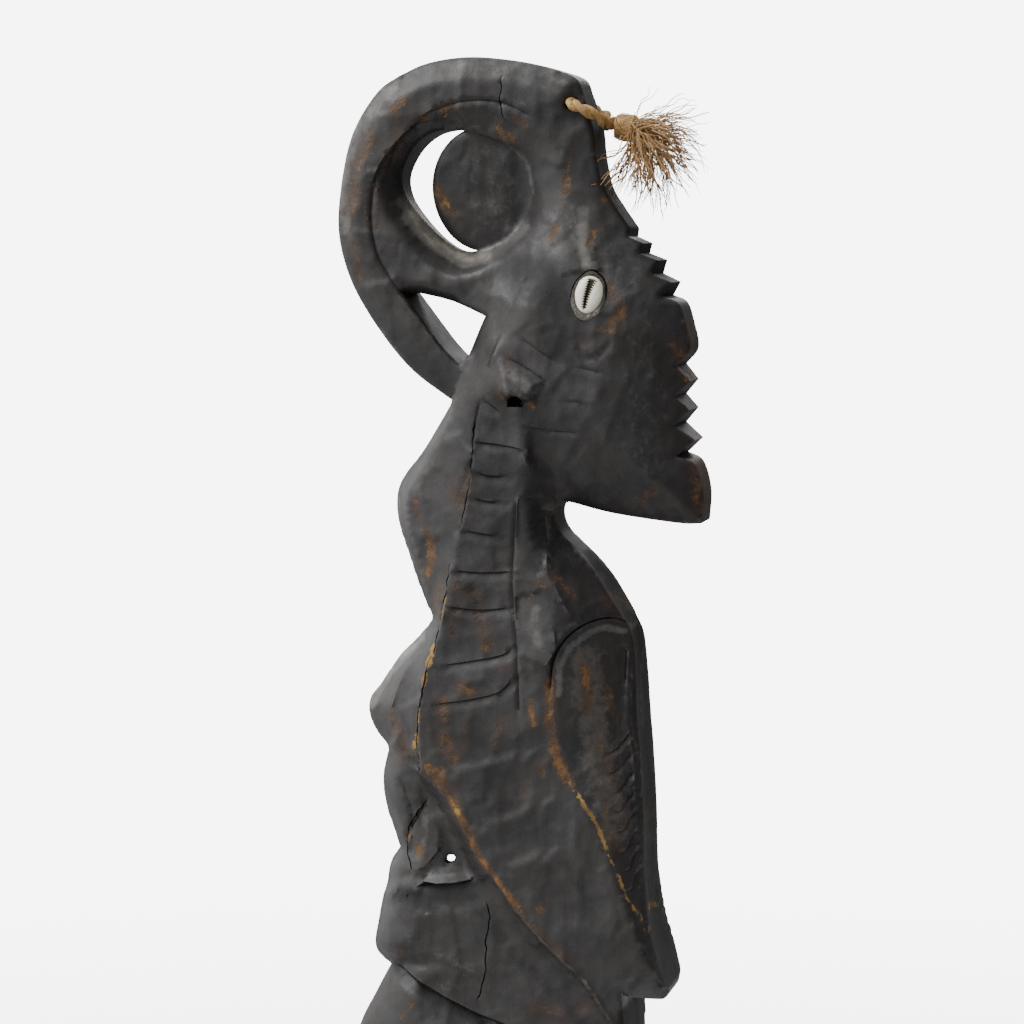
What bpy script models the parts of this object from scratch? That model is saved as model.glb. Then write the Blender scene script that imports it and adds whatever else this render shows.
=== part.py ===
"""A carved wooden spirit figure with a looped crest, cowrie eyes and a fibre tassel.

The carving is one piece of wood, worked from both sides like a slab: every form is an outline in
the side view with a half-width that rises from its rim. +X is the way the face looks, +Z is up and
Y = 0 is the middle of the slab. Heights of the carving are counted from the top of its low base.
"""
import math

import bmesh
import bpy
import numpy as np
from mathutils import Matrix, Vector
from mathutils.geometry import delaunay_2d_cdt

# Driving dimensions, in metres
CARVING_HEIGHT = 0.690
BASE_LENGTH = 0.196
BASE_WIDTH = 0.150
BASE_HEIGHT = 0.030
BASE_CHAMFER = 0.003
BASE_CENTRE_X = -0.012
TRUNK_WIDTH = 0.112
NECK_WIDTH = 0.090
HEAD_WIDTH = 0.090
FACE_EDGE_WIDTH = 0.042
CREST_WIDTH = 0.060
CREST_RIM_WIDTH = 0.044
RING_WIDTH = 0.042
RING_LIP_WIDTH = 0.013
DISC_WIDTH = 0.030
DISC_RIM_WIDTH = 0.018
KEEL_WIDTH = 0.024
BACK_WIDTH = 0.062
EAR_HOLE_DIAMETER = 0.0080
EAR_HOLE_DEPTH = 0.016
EYE_LEAN = math.radians(11)
COWRIE_LENGTH = 0.0240
COWRIE_WIDTH = 0.0170
COWRIE_THICKNESS = 0.0085
PUTTY_BORDER = 0.0022
PUTTY_FLOOR = 0.0015
PUTTY_DISH = 0.0012
SOCKET_DEPTH = 0.0070
CORD_DIAMETER = 0.0068
CORD_CLEARANCE = 0.0007
BINDING_LENGTH = 0.0130
BINDING_DIAMETER = 0.0150
BINDING_TURNS = 4
BINDING_DROOP = math.radians(12)
TASSEL_LENGTH = 0.040
TASSEL_SPREAD = 0.046
TASSEL_DROOP = math.radians(30)
FIT_GAP = 0.0003

# The outlines are drawn on a sheet where the carving is 690 high, so a unit is about a millimetre
UNIT = CARVING_HEIGHT / 690
TRUNK = TRUNK_WIDTH / 2 / UNIT
NECK = NECK_WIDTH / 2 / UNIT
HEAD = HEAD_WIDTH / 2 / UNIT
FACE_EDGE = FACE_EDGE_WIDTH / 2 / UNIT
CREST = CREST_WIDTH / 2 / UNIT
CREST_RIM = CREST_RIM_WIDTH / 2 / UNIT
RING = RING_WIDTH / 2 / UNIT
RING_LIP = RING_LIP_WIDTH / 2 / UNIT
DISC = DISC_WIDTH / 2 / UNIT
DISC_RIM = DISC_RIM_WIDTH / 2 / UNIT
KEEL = KEEL_WIDTH / 2 / UNIT
BACK = BACK_WIDTH / 2 / UNIT
EYE_CENTRE = (53, 550)
EAR_HOLE = (11.5, 484)
CORD_HOLE = (40, 662)
LIMB_HOLE = (-31, 214)
FEATHERS = 7
FEATHER_STEP = 12
SHOULDER_STEP = 3
LINE_SPACING = 3.2
FIELD_SPACING = 4.6
FIELD_CLEARANCE = 2.0
STEP_RUN = 1.5
WALL_STRIPS = 6
FIGURE_TRIANGLES = 6900
CORD_POINTS = 44


def evenly(path, spacing=LINE_SPACING):
    """Points about one spacing apart along a path, with both its ends."""
    steps = np.linalg.norm(np.diff(path, axis=0), axis=1)
    travelled = np.concatenate([[0], np.cumsum(steps)])
    count = max(1, round(travelled[-1] / spacing))
    stations = np.linspace(0, travelled[-1], count + 1)
    return np.column_stack([np.interp(stations, travelled, path[:, axis]) for axis in (0, 1)])


def curve(*points):
    """A smooth stroke through the points."""
    points = np.array(points, float)
    padded = np.vstack([2 * points[0] - points[1], points, 2 * points[-1] - points[-2]])
    share = np.linspace(0, 1, 12, endpoint=False)[:, None]
    pieces = []
    for before, start, end, after in zip(padded, padded[1:], padded[2:], padded[3:]):
        bend = 2 * before - 5 * start + 4 * end - after
        twist = 3 * (start - end) + after - before
        pieces.append(start + 0.5 * share * (end - before + share * (bend + share * twist)))
    return evenly(np.vstack(pieces + [points[-1:]]))


def straight(*points):
    """A stroke of straight cuts with a corner at each point."""
    points = np.array(points, float)
    cuts = [evenly(points[i:i + 2])[:-1] for i in range(len(points) - 1)]
    return np.vstack(cuts + [points[-1:]])


def ellipse(centre, across, up):
    """A closed stroke round an ellipse."""
    turns = max(12, round(math.tau * math.sqrt((across ** 2 + up ** 2) / 2) / LINE_SPACING))
    angles = np.linspace(0, math.tau, turns + 1)
    return np.column_stack([centre[0] + across * np.cos(angles), centre[1] + up * np.sin(angles)])


def join(*strokes):
    """One outline from strokes laid end to end."""
    return np.vstack(strokes)


def beside(stroke, offset):
    """The stroke moved sideways, to its left if the offset is positive."""
    run = np.gradient(stroke, axis=0)
    run /= np.maximum(np.linalg.norm(run, axis=1), 1e-9)[:, None]
    return stroke + offset * np.column_stack([-run[:, 1], run[:, 0]])


def distance(points, stroke):
    """How far each point is from a stroke."""
    start, end = stroke[:-1], stroke[1:]
    along = end - start
    length = np.maximum((along ** 2).sum(1), 1e-9)
    best = np.full(len(points), np.inf)
    for origin, direction, size in zip(start, along, length):
        away = points - origin
        share = np.clip(away @ direction / size, 0, 1)
        gap = away - share[:, None] * direction
        best = np.minimum(best, (gap ** 2).sum(1))
    return np.sqrt(best)


def inside(points, region):
    """Which points are inside a region, or on its edge."""
    x, z = points[:, 0], points[:, 1]
    odd = np.zeros(len(points), bool)
    for (x0, z0), (x1, z1) in zip(region, np.roll(region, -1, axis=0)):
        if z0 == z1:
            continue
        crosses = (z0 > z) != (z1 > z)
        odd ^= crosses & (x < (x1 - x0) * (z - z0) / (z1 - z0) + x0)
    closed = np.vstack([region, region[:1]])
    return odd | (distance(points, closed) < 0.02)


def level(half, points):
    """A half-width that is one number, or that changes with height through (height, half) pairs."""
    if isinstance(half, list):
        heights, halves = zip(*half)
        return np.interp(points[:, 1], heights, halves)
    return np.full(len(points), float(half))


def lump(region, rim, edge, full, slope, power=1.0):
    """A form with its edge half-width along the rim, and its full half-width a slope away."""
    def halves(points):
        rise = np.clip(distance(points, rim) / slope, 0, 1)
        rise = 1 - (1 - rise) ** power
        low, high = level(edge, points), level(full, points)
        return low + (high - low) * rise
    return region, halves


def flank(inner, outer, inner_half, outer_half, power=1.0):
    """A facet that falls from an inner stroke to an outer one."""
    def halves(points):
        to_inner, to_outer = distance(points, inner), distance(points, outer)
        rise = to_outer / (to_inner + to_outer + 1e-6)
        rise = 1 - (1 - rise) ** power
        low, high = level(outer_half, points), level(inner_half, points)
        return low + (high - low) * rise
    return join(inner, outer[::-1]), halves


# Strokes of the crest, its ring and the disc inside it
crest_front = curve((46, 668), (52, 648), (54, 631), (58, 614), (65, 602), (74, 589))
crest_top = curve((46, 668), (42, 677), (30, 682), (10, 687), (-20, 690), (-45, 687), (-62, 680),
                  (-78, 669), (-93, 644), (-100, 612), (-101, 584), (-93, 556), (-77, 529),
                  (-57, 505), (-33, 487))
crest_inside = curve((34, 632), (25, 647), (4, 661), (-20, 664), (-44, 657), (-62, 641),
                     (-75, 623), (-80, 600), (-77, 576), (-69, 560), (-60, 548), (-48, 532),
                     (-37, 518), (-27, 508))
ring_outside = curve((36, 628), (27, 650), (4, 665), (-20, 668), (-46, 661), (-68, 644),
                     (-81, 624), (-85, 600), (-82, 574), (-70, 553), (-50, 550), (-30, 545),
                     (-11, 537))
ring_hole = curve((-33, 648), (-46, 645), (-57, 636), (-64, 621), (-62, 608), (-53, 595),
                  (-40, 582), (-27, 575), (-13, 578), (2, 586), (12, 597), (16, 612), (12, 628),
                  (2, 638), (-12, 643), (-23, 646), (-33, 648))
ring_bevel = curve((-33, 654), (-50, 651), (-64, 640), (-71, 622), (-68, 603), (-56, 584),
                   (-41, 569), (-22, 566), (2, 576), (17, 594), (22, 612), (18, 633), (3, 649),
                   (-14, 654), (-33, 654))
disc_edge = ellipse((-14, 612), 32, 37)

# Strokes of the head, from the forehead round the teeth and chin to the throat
forehead_teeth = straight((74, 589), (73, 584), (82, 580), (80, 574), (91, 570), (88, 562),
                          (99, 557), (94, 549))
nose = curve((94, 549), (103, 545), (107, 534), (110, 518), (102, 508))
mouth_teeth = straight((102, 508), (110, 499), (102, 490), (110, 482), (102, 473), (113, 464),
                       (103, 455))
chin = curve((103, 455), (113, 450), (118, 433), (117, 415))
jaw = curve((117, 415), (104, 415), (67, 420), (42, 426), (26, 431))
face_outline = join(crest_front, forehead_teeth, nose, mouth_teeth, chin, jaw)
face_rim = join(crest_front, curve((74, 589), (83, 579), (92, 569), (100, 557), (105, 545),
                                   (110, 525), (111, 495), (112, 464), (118, 436), (118, 415)), jaw)

# Strokes of the trunk
nape_edge = curve((-11, 537), (-20, 517), (-24, 505))
nape_crease = join(curve((-24, 505), (-36, 468), (-49, 443), (-57, 428), (-56, 410), (-50, 390),
                         (-41, 358)),
                   curve((-41, 358), (-54, 333), (-62, 318), (-66, 305), (-64, 291), (-56, 272)))
left_edge = join(curve((-33, 487), (-51, 457), (-61, 444), (-67, 432), (-67, 415), (-60, 393),
                       (-53, 373), (-45, 355)),
                 curve((-45, 355), (-56, 343), (-66, 333), (-77, 317), (-85, 305), (-83, 291),
                       (-72, 276)))
split_line = curve((16, 562), (3, 534), (-6, 508), (-14, 478), (-16, 460), (-18, 437), (-23, 412),
                   (-29, 388), (-33, 360), (-38, 340), (-44, 323), (-47, 300), (-46, 268))
panel_edge = curve((-46, 268), (-30, 254), (-18, 233), (-6, 213), (12, 188), (30, 167), (52, 146),
                   (64, 128), (75, 110))
throat = curve((34, 441), (29, 425), (31, 411), (40, 401), (48, 393), (56, 383), (64, 370),
               (72, 357), (77, 345), (79, 322), (80, 300), (82, 276), (84, 240), (85, 205),
               (88, 178), (93, 158), (99, 138))
wing_tip = curve((99, 138), (98, 133), (92, 131), (74, 138))
haunch = curve((74, 138), (75, 115), (75, 80), (68, 42), (62, 15), (60, -8))
breast_line = curve((18, 432), (19, 412), (24, 396), (31, 383), (36, 366), (35, 345), (32, 324),
                    (32, 290), (36, 272), (44, 262), (52, 250), (59, 236), (67, 217), (75, 196), (83, 178),
                    (90, 160), (99, 138))
wing_oval = curve((32, 320), (34, 335), (41, 348), (51, 356), (62, 359), (72, 356), (76, 346),
                  (76, 322), (74, 296), (72, 282))

# Strokes of the limbs
forearm_left = curve((-72, 276), (-75, 260), (-73, 243), (-68, 228), (-65, 218))
hand_left = curve((-65, 218), (-71, 208), (-74, 191))
knee_left = curve((-74, 191), (-77, 175), (-79, 158), (-70, 147))
shin_left = curve((-70, 147), (-79, 130), (-88, 112), (-93, 94), (-91, 70), (-82, 46), (-72, 26))
foot_left = curve((-72, 26), (-82, 20), (-90, 10), (-90, -8))
thigh_under = curve((-70, 147), (-58, 141), (-23, 126), (-10, 116), (20, 104), (50, 98), (74, 92))
thigh_over = curve((-74, 191), (-60, 197), (-37, 200), (-13, 203), (4, 206))

trunk_half = [(140, TRUNK - 10), (175, TRUNK - 2), (300, TRUNK), (350, TRUNK - 2),
              (400, NECK + 4), (470, NECK), (560, HEAD - 3)]
strip_half = [(height, half - SHOULDER_STEP) for height, half in trunk_half]
crease_half = [(270, KEEL + 22), (320, KEEL + 26), (358, KEEL + 20), (430, KEEL + 24),
               (505, KEEL + 18), (537, KEEL + 10)]
back_half = [(130, BACK - 9), (160, BACK), (300, BACK), (345, BACK - 7), (375, BACK - 3), (400, BACK - 14),
             (428, BACK - 12)]

FORMS = [
    lump(join(crest_top[::-1], crest_front[1:10], crest_inside, straight((-20, 515), (-24, 503))),
         join(crest_top[::-1], crest_front), CREST_RIM, CREST, 13),
    lump(join(ring_outside, straight((-11, 537), (20, 545), (38, 575), (36, 628)), ring_bevel,
              ring_outside[:1]), ring_bevel, RING, CREST - 2, 18),
    flank(ring_bevel, ring_hole, RING, RING_LIP),
    lump(disc_edge, disc_edge, DISC_RIM, DISC, 30, 2.2),
    lump(join(face_outline, straight((26, 431), (5, 440), (-10, 470), (-6, 508), (3, 534), (16, 562)),
              straight((16, 562), (26, 572), (32, 592), (34, 632), (46, 668))),
         face_rim, FACE_EDGE, HEAD, 54, 1.8),
    lump(join(split_line, panel_edge[1:], straight((75, 110), (74, 138)), wing_tip[::-1],
              breast_line[::-1], straight((18, 432), (16, 562))),
         wing_tip, TRUNK - 33, trunk_half, 16),
    flank(split_line, join(nape_edge, nape_crease, straight((-56, 272), (-46, 268))), strip_half,
          crease_half),
    flank(nape_crease, left_edge, crease_half, KEEL),
    flank(breast_line, throat, trunk_half, back_half, 1.5),
    lump(join(forearm_left, straight((-65, 218), (-52, 203), (-30, 212), (-2, 216)),
              straight((-6, 240), (-36, 276), (-60, 292), (-72, 276))),
         forearm_left, KEEL + 8, KEEL + 28, 20, 2),
    lump(join(hand_left, straight((-74, 191), (-58, 186), (-46, 200), (-50, 212), (-65, 218))),
         hand_left, KEEL + 6, KEEL + 24, 14, 2),
    lump(straight((-60, 192), (-50, 209), (-31, 219), (-5, 222), (14, 194), (-30, 192), (-60, 192)),
         straight((-60, 192), (-30, 192), (14, 194)), KEEL + 10, KEEL + 28, 12, 2),
    lump(join(knee_left, thigh_under, straight((74, 92), (74, 108), (60, 150), (16, 200), (4, 206)),
              thigh_over[::-1]),
         join(thigh_over[::-1], knee_left, thigh_under), KEEL + 12, TRUNK - 8, 24, 2),
    lump(join(shin_left, foot_left, straight((-90, -8), (60, -8)), haunch[::-1],
              straight((74, 138), (60, 134), (-10, 150), (-70, 147))),
         join(shin_left, foot_left), KEEL + 12, [(0, TRUNK - 18), (60, TRUNK - 12)], 26, 2),
    lump(join(foot_left, straight((-90, -8), (-20, -8), (-16, 14), (-40, 28), (-72, 26))),
         join(foot_left, straight((-16, 14), (-40, 28), (-72, 26))), KEEL + 16, TRUNK - 8, 10, 2),
]

# The ear is a hood whose lower lip stands furthest out
FORMS.append(lump(straight((0, 488), (0, 514), (28, 498), (23, 487), (11, 484), (0, 488)),
                  straight((0, 514), (28, 498)), NECK + 1, NECK + 9, 22))

# Cuts: stroke, half-width of the cut and depth
CUTS = [
    (wing_oval, 4, 4),
    (split_line[12:], 3, 3),
    (curve((11, 432), (9, 389), (10, 367), (12, 345), (13, 324), (13, 270)), 3, 2.5),
    (straight((20, 432), (20, 390)), 8, 7),
    (curve((-66, 187), (-37, 189), (-13, 193)), 9, 9),
    (curve((-62, 143), (-23, 127), (-8, 117), (20, 106)), 5, 6),
    (curve((-64, 217), (-55, 207), (-48, 198)), 4, 5),
    (curve((-62, 262), (-54, 240), (-60, 222)), 3, 2),
    (curve((-8, 112), (-24, 84), (-30, 52), (-26, 26)), 6, 6),
]
NECK_LINES = [((11, 529), (37, 511)), ((1, 513), (31, 497)), ((43, 509), (67, 505)),
              ((38, 489), (58, 486)), ((-11, 489), (2, 479)), ((13, 474), (48, 469))]
for first, last in NECK_LINES:
    CUTS.append((straight(first, last), 3, 1.8))
BAND_LINES = [(-15, 463, 16, 457), (-17, 446, 6, 442), (-19, 430, 8, 427), (-22, 411, 2, 407),
              (-27, 386, 27, 384), (-31, 365, 10, 364), (-38, 331, 11, 341), (-44, 306, 8, 320)]
for left, left_height, right, right_height in BAND_LINES:
    CUTS.append((straight((left, left_height), (right, right_height)), 3, 1.8))
for feather in range(FEATHERS):
    tip = 284 - FEATHER_STEP * feather
    CUTS.append((curve((62 + feather * 1.5, tip - 4), (72 + feather, tip), (79 + feather, tip + 9)),
                 3, 2))

# Steps down from one form to the next, each drawn with the low side on its left
STEPS = [ring_hole, panel_edge[::-1], crest_inside]

# Openings right through the slab, and the funnel that each is sunk in
cord_hole_size = (CORD_DIAMETER / 2 + CORD_CLEARANCE) / UNIT
limb_hole = ellipse(LIMB_HOLE, 4.6, 3.4)
OPENINGS = [ellipse(CORD_HOLE, cord_hole_size, cord_hole_size), limb_hole]
FUNNELS = [(LIMB_HOLE, 7, 2.4)]

# Hollows across the edge of the slab: stroke, depth and how much of the width they take
HOLLOWS = [
    (throat[16:-4], 5, 0.80),
    (join(forearm_left, hand_left, knee_left, shin_left), 9, 0.35),
    (haunch[4:], 7, 0.35),
]


def half_widths(points):
    """The half-width of the wood at each point of the side view."""
    half = np.full(len(points), 2.0)
    for region, halves in FORMS:
        mine = inside(points, region)
        half[mine] = np.maximum(half[mine], halves(points[mine]))
    for stroke, width, depth in CUTS:
        half -= depth * np.clip(1 - distance(points, stroke) / width, 0, 1)
    for centre, floor, slope in FUNNELS:
        half = np.minimum(half, floor + slope * np.linalg.norm(points - centre, axis=1))
    return half


def side_view():
    """The side view cut into triangles along every stroke, as points and triples."""
    loops = [region for region, _ in FORMS] + OPENINGS
    strokes = [np.vstack([loop, loop[:1]]) for loop in loops]
    for stroke, width, _ in CUTS:
        strokes += [stroke, beside(stroke, width), beside(stroke, -width)]
    for stroke in STEPS:
        strokes.append(beside(stroke, STEP_RUN))
    corners = np.vstack(strokes)
    links, start = [], 0
    for stroke in strokes:
        links += [(start + i, start + i + 1) for i in range(len(stroke) - 1)]
        start += len(stroke)
    low, high = corners.min(0), corners.max(0)
    rows = np.arange(low[1], high[1], FIELD_SPACING * math.sqrt(3) / 2)
    columns = np.arange(low[0], high[0], FIELD_SPACING)
    field = np.array([(x + (row % 2) * FIELD_SPACING / 2, z)
                      for row, z in enumerate(rows) for x in columns])
    wooded = np.zeros(len(field), bool)
    for region, _ in FORMS:
        wooded |= inside(field, region)
    field = field[wooded]
    for stroke in strokes:
        field = field[distance(field, stroke) > FIELD_CLEARANCE]
    points = [Vector(point) for point in np.vstack([corners, field])]
    points, _, triangles, _, _, _ = delaunay_2d_cdt(points, links, [], 0, 1e-3)
    points = np.array([tuple(point) for point in points])
    triangles = np.array(triangles)
    middles = points[triangles].mean(1)
    kept = np.zeros(len(triangles), bool)
    for region, _ in FORMS:
        kept |= inside(middles, region)
    for opening in OPENINGS:
        kept &= ~inside(middles, opening)
    return points, triangles[kept]


def material(name, colour, roughness):
    """A plain surface material."""
    surface = bpy.data.materials.new(name)
    surface.use_nodes = True
    shader = surface.node_tree.nodes["Principled BSDF"]
    shader.inputs["Base Color"].default_value = (*colour, 1)
    shader.inputs["Roughness"].default_value = roughness
    shader.inputs["Metallic"].default_value = 0
    return surface


def place(name, mesh, surface):
    """An object of the mesh with one material."""
    made = bpy.data.objects.new(name, mesh)
    bpy.context.scene.collection.objects.link(made)
    mesh.materials.append(surface)
    return made


def slab_mesh(name):
    """The whole carving above its base: a near face, a far face and the edge between them."""
    points, triangles = side_view()
    half = half_widths(points)
    count = len(points)
    sheet = {}
    for a, b, c in triangles:
        for pair in ((a, b), (b, c), (c, a)):
            sheet[pair] = pair[::-1] in sheet
            if sheet[pair]:
                sheet[pair[::-1]] = True
    rim = [pair for pair, shared in sheet.items() if not shared]
    outward = np.zeros((count, 2))
    for a, b in rim:
        run = points[b] - points[a]
        outward[[a, b]] += np.array([run[1], -run[0]]) / max(np.hypot(*run), 1e-9)
    outward /= np.maximum(np.linalg.norm(outward, axis=1), 1e-9)[:, None]
    hollow = np.zeros((WALL_STRIPS + 1, count))
    across = np.linspace(-1, 1, WALL_STRIPS + 1)
    for stroke, depth, share in HOLLOWS:
        nearby = distance(points, stroke) < 0.5
        profile = np.clip(3 * (1 - np.abs(across) / share), 0, 1)
        hollow = np.maximum(hollow, depth * profile[:, None] * nearby)

    verts = [(x, -y, z) for (x, z), y in zip(points, half)]
    verts += [(x, y, z) for (x, z), y in zip(points, half)]
    rows = {vertex: [vertex] for vertex in sorted({a for pair in rim for a in pair})}
    for vertex, row in rows.items():
        for strip in range(1, WALL_STRIPS):
            x, z = points[vertex] - hollow[strip, vertex] * outward[vertex]
            row.append(len(verts))
            verts.append((x, across[strip] * half[vertex], z))
        row.append(vertex + count)
    faces = [(a, b, c) for a, b, c in triangles]
    faces += [(a + count, c + count, b + count) for a, b, c in triangles]
    for a, b in rim:
        for strip in range(WALL_STRIPS):
            near_a, far_a = rows[a][strip], rows[a][strip + 1]
            near_b, far_b = rows[b][strip], rows[b][strip + 1]
            faces += [(near_b, near_a, far_a), (near_b, far_a, far_b)]

    scaled = np.array(verts, float) * UNIT
    scaled[:, 2] += BASE_HEIGHT
    mesh = bpy.data.meshes.new(name)
    mesh.from_pydata(scaled.tolist(), [], [tuple(int(v) for v in face) for face in faces])
    cleaned = bmesh.new()
    cleaned.from_mesh(mesh)
    loose = [vertex for vertex in cleaned.verts if not vertex.link_faces]
    bmesh.ops.delete(cleaned, geom=loose, context="VERTS")
    cleaned.to_mesh(mesh)
    cleaned.free()
    return mesh, len(faces)


def stack(name, surface, rings, frame, sides=24, lobes=0, lobe_depth=0.0):
    """A closed body of oval rings; each ring is its place along the axis and its two radii."""
    mesh = bpy.data.meshes.new(name)
    shape = bmesh.new()
    loops = []
    for along, across, up in rings:
        loop = []
        for side in range(sides):
            angle = math.tau * side / sides
            swell = 1 + lobe_depth * math.cos(lobes * angle)
            spot = Vector((across * swell * math.cos(angle), up * swell * math.sin(angle), along))
            loop.append(shape.verts.new(frame @ spot))
        loops.append(loop)
    for lower, upper in zip(loops, loops[1:]):
        for side in range(sides):
            following = (side + 1) % sides
            shape.faces.new((lower[side], lower[following], upper[following], upper[side]))
    shape.faces.new(loops[0][::-1])
    shape.faces.new(loops[-1])
    bmesh.ops.recalc_face_normals(shape, faces=shape.faces)
    shape.to_mesh(mesh)
    shape.free()
    mesh.shade_smooth()
    mesh.set_sharp_from_angle(angle=math.radians(40))
    return place(name, mesh, surface)


def on_sheet(x, z, y=0.0):
    """A place on the figure, in metres, from its place in the side view."""
    return Vector((x * UNIT, y * UNIT, z * UNIT + BASE_HEIGHT))


def face_frame(centre, side, lean):
    """A frame on the carved surface: its Z axis points out of the wood and its Y axis up."""
    reach = 8.0
    probes = np.array([centre, (centre[0] - reach, centre[1]), (centre[0] + reach, centre[1]),
                       (centre[0], centre[1] - reach), (centre[0], centre[1] + reach)])
    half = half_widths(probes)
    slope_x = (half[2] - half[1]) / (2 * reach)
    slope_z = (half[4] - half[3]) / (2 * reach)
    out = Vector((-slope_x, side, -slope_z)).normalized()
    up = Vector((math.sin(lean), 0, math.cos(lean)))
    up = (up - up.dot(out) * out).normalized()
    right = up.cross(out)
    origin = on_sheet(centre[0], centre[1], side * half[0])
    frame = Matrix((right, up, out)).transposed().to_4x4()
    frame.translation = origin
    return frame


def cut_with(body, cutter, operation="DIFFERENCE"):
    """Join or cut the body with a hidden helper."""
    cutter.hide_render = True
    cutter.display_type = "WIRE"
    change = body.modifiers.new(cutter.name, "BOOLEAN")
    change.operation = operation
    change.object = cutter


def carved_figure(wood):
    """The wooden figure with its base, eye sockets and ear holes."""
    mesh, triangles = slab_mesh("carved_figure")
    figure = place("carved_figure", mesh, wood)
    simplify = figure.modifiers.new("simplify", "DECIMATE")
    simplify.ratio = min(1.0, FIGURE_TRIANGLES / triangles)
    simplify.use_symmetry = True
    simplify.symmetry_axis = "Y"
    chamfer = BASE_CHAMFER
    length, width = BASE_LENGTH / 2, BASE_WIDTH / 2
    rings = [(0, length - chamfer, width - chamfer), (chamfer, length, width),
             (BASE_HEIGHT - chamfer, length, width),
             (BASE_HEIGHT, length - chamfer, width - chamfer)]
    base = stack("base_block", wood, rings, Matrix.Translation((BASE_CENTRE_X, 0, 0)), 48)
    cut_with(figure, base, "UNION")
    return figure


def eye(side, figure, wood, putty, shell):
    """One cowrie in its bed of putty, and the socket in the wood that holds them."""
    name = "near" if side < 0 else "far"
    frame = face_frame(EYE_CENTRE, side, EYE_LEAN)
    across = COWRIE_WIDTH / 2 + FIT_GAP + PUTTY_BORDER
    up = COWRIE_LENGTH / 2 + FIT_GAP + PUTTY_BORDER
    socket = stack("socket_" + name, wood,
                   [(-SOCKET_DEPTH, across + FIT_GAP, up + FIT_GAP),
                    (SOCKET_DEPTH, across + FIT_GAP, up + FIT_GAP)], frame, 20)
    cut_with(figure, socket)
    bottom = FIT_GAP - SOCKET_DEPTH
    floor = bottom + PUTTY_FLOOR
    bed_across, bed_up = across - PUTTY_BORDER, up - PUTTY_BORDER
    rings = [(bottom, across, up), (0, across, up), (PUTTY_DISH, across - PUTTY_DISH, up - PUTTY_DISH),
             (PUTTY_DISH, bed_across, bed_up), (floor, bed_across, bed_up)]
    stack("eye_putty_" + name, putty, rings, frame, 20)
    seat = floor + FIT_GAP
    rings = []
    for step in (0.0, 0.25, 0.5, 0.68, 0.82, 0.93, 1.0):
        bulge = math.sqrt(max(0.03, 1 - max(0.0, 2 * step - 1) ** 2))
        rings.append((seat + step * COWRIE_THICKNESS, bulge * COWRIE_WIDTH / 2,
                      bulge * COWRIE_LENGTH / 2))
    stack("cowrie_eye_" + name, shell, rings, frame, 18)


def ear_hole(side, figure, wood):
    """The bore under the lip of an ear."""
    name = "near" if side < 0 else "far"
    frame = face_frame((EAR_HOLE[0], EAR_HOLE[1] - 12), side, 0)
    frame.translation = on_sheet(EAR_HOLE[0], EAR_HOLE[1], side * NECK)
    radius = EAR_HOLE_DIAMETER / 2
    bore = stack("ear_bore_" + name, wood, [(-EAR_HOLE_DEPTH, radius, radius),
                                            (EAR_HOLE_DEPTH, radius, radius)], frame, 12)
    cut_with(figure, bore)


def smooth_loop(points, count):
    """Points along a smooth closed curve through the given ones."""
    points = [Vector(point) for point in points]
    total = len(points)
    found = []
    for step in range(count):
        place_on = step * total / count
        index = int(place_on)
        share = place_on - index
        before, start, end, after = (points[(index + offset) % total] for offset in (-1, 0, 1, 2))
        bend = 2 * before - 5 * start + 4 * end - after
        twist = 3 * (start - end) + after - before
        found.append(start + 0.5 * share * (end - before + share * (bend + share * twist)))
    return found


def drooping_frame(droop):
    """A frame whose Z axis points forward and down by the droop, and that axis."""
    axis = Vector((math.cos(droop), 0, -math.sin(droop)))
    up = Vector((math.sin(droop), 0, math.cos(droop)))
    return Matrix((Vector((0, -1, 0)), up, axis)).transposed().to_4x4(), axis


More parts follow.
